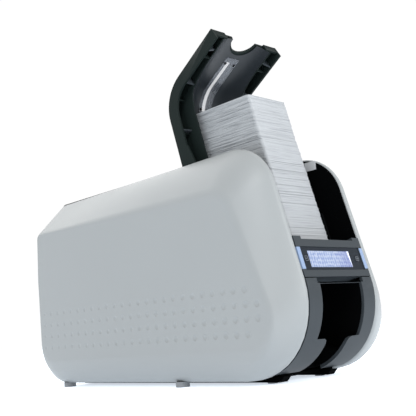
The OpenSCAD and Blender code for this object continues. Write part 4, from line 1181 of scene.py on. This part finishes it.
def on_panel(x, down, depth):
    """A point across the panel, down its slope and into it, from the middle of its top edge."""
    return Vector((x, PANEL_Y - down * math.sin(PANEL_LEAN) + depth * math.cos(PANEL_LEAN),
                   PANEL_Z - down * math.cos(PANEL_LEAN) - depth * math.sin(PANEL_LEAN)))


def panel_block(name, x, down, depth):
    """A block lying along the panel; each of the three spans is a pair of millimetres."""
    deselect()
    middle = [sum(span) / 2 for span in (x, down, depth)]
    bpy.ops.mesh.primitive_cube_add(size=1, location=on_panel(*middle) * MM, rotation=(-PANEL_LEAN, 0, 0))
    block = bpy.context.object
    block.name = name
    block.scale = Vector((x[1] - x[0], depth[1] - depth[0], down[1] - down[0])) * MM
    settle(block)
    return block


bezel = bpy.data.objects["front_bezel_moulded"]
cut_away(bezel, panel_block("recess", *RECESS))
smooth(bezel, HARD_ANGLE)
print("front trim faces:", len(bezel.data.polygons))

# %% [markdown]
# Two small printed marks stand beside the display, a framed bar on the left and a framed cross on the
# right. They could be text or a texture, but thin bars that are sunk into the panel need neither.

# %% Marks beside the display
MARK_DEPTH, MARK_DOWN, BAR = (-0.12, 0.3), (18.4, 22.8), 0.5
MIDDLE_BAR = (20.3, 20.9)


def mark(name, strokes):
    """A mark of thin bars, each given as a span across and a span down the panel."""
    bars = [panel_block(name + "_bar", x, down, MARK_DEPTH) for x, down in strokes]
    return finished(joined(name, bars), mark_grey, "chassis", slot="dark_trim")


def frame_strokes(x, down):
    """The four bars of a frame: top, bottom, left and right."""
    return [(x, (down[0], down[0] + BAR)), (x, (down[1] - BAR, down[1])),
            ((x[0], x[0] + BAR), down), ((x[1] - BAR, x[1]), down)]


mark("mark_card", frame_strokes((-39.6, -35.4), MARK_DOWN) + [((-38.8, -36.2), MIDDLE_BAR)])
cross = [((34.5, 35.1), (19.5, 21.7)), ((33.7, 35.9), MIDDLE_BAR)]
mark("mark_feed", frame_strokes((32.6, 37.0), MARK_DOWN) + cross)
print("the marks are", round(MARK_DOWN[1] - MARK_DOWN[0], 1), "mm high")

# %% [markdown]
# A small pale stop sits on the inner side of the right shell, under its top edge, where the lid's
# corner comes down. It is thin, so that the shut lid clears it. A cube scaled to size and bevelled is
# enough, because only its rounded edges catch the light.

# %% Lid stop
STOP_LOW, STOP_HIGH, STOP_EDGE = (46.78, -128, 197), (47.6, -114, 206), 0.3


def rounded_block(name, low, high, radius):
    """A block between two corners, in millimetres, with all its edges rounded."""
    deselect()
    bpy.ops.mesh.primitive_cube_add(size=1, location=(Vector(low) + Vector(high)) / 2 * MM)
    block = bpy.context.object
    block.name = name
    block.scale = (Vector(high) - Vector(low)) * MM
    settle(block)
    apply_modifier(block, "BEVEL", width=radius * MM, segments=4, limit_method="ANGLE")
    smooth(block, 40)
    return block


stop = rounded_block("lid_stop", STOP_LOW, STOP_HIGH, STOP_EDGE)
finished(stop, stop_grey, "chassis", slot="shell_grey")
print("stop:", [round(high - low, 2) for low, high in zip(STOP_LOW, STOP_HIGH)], "mm")
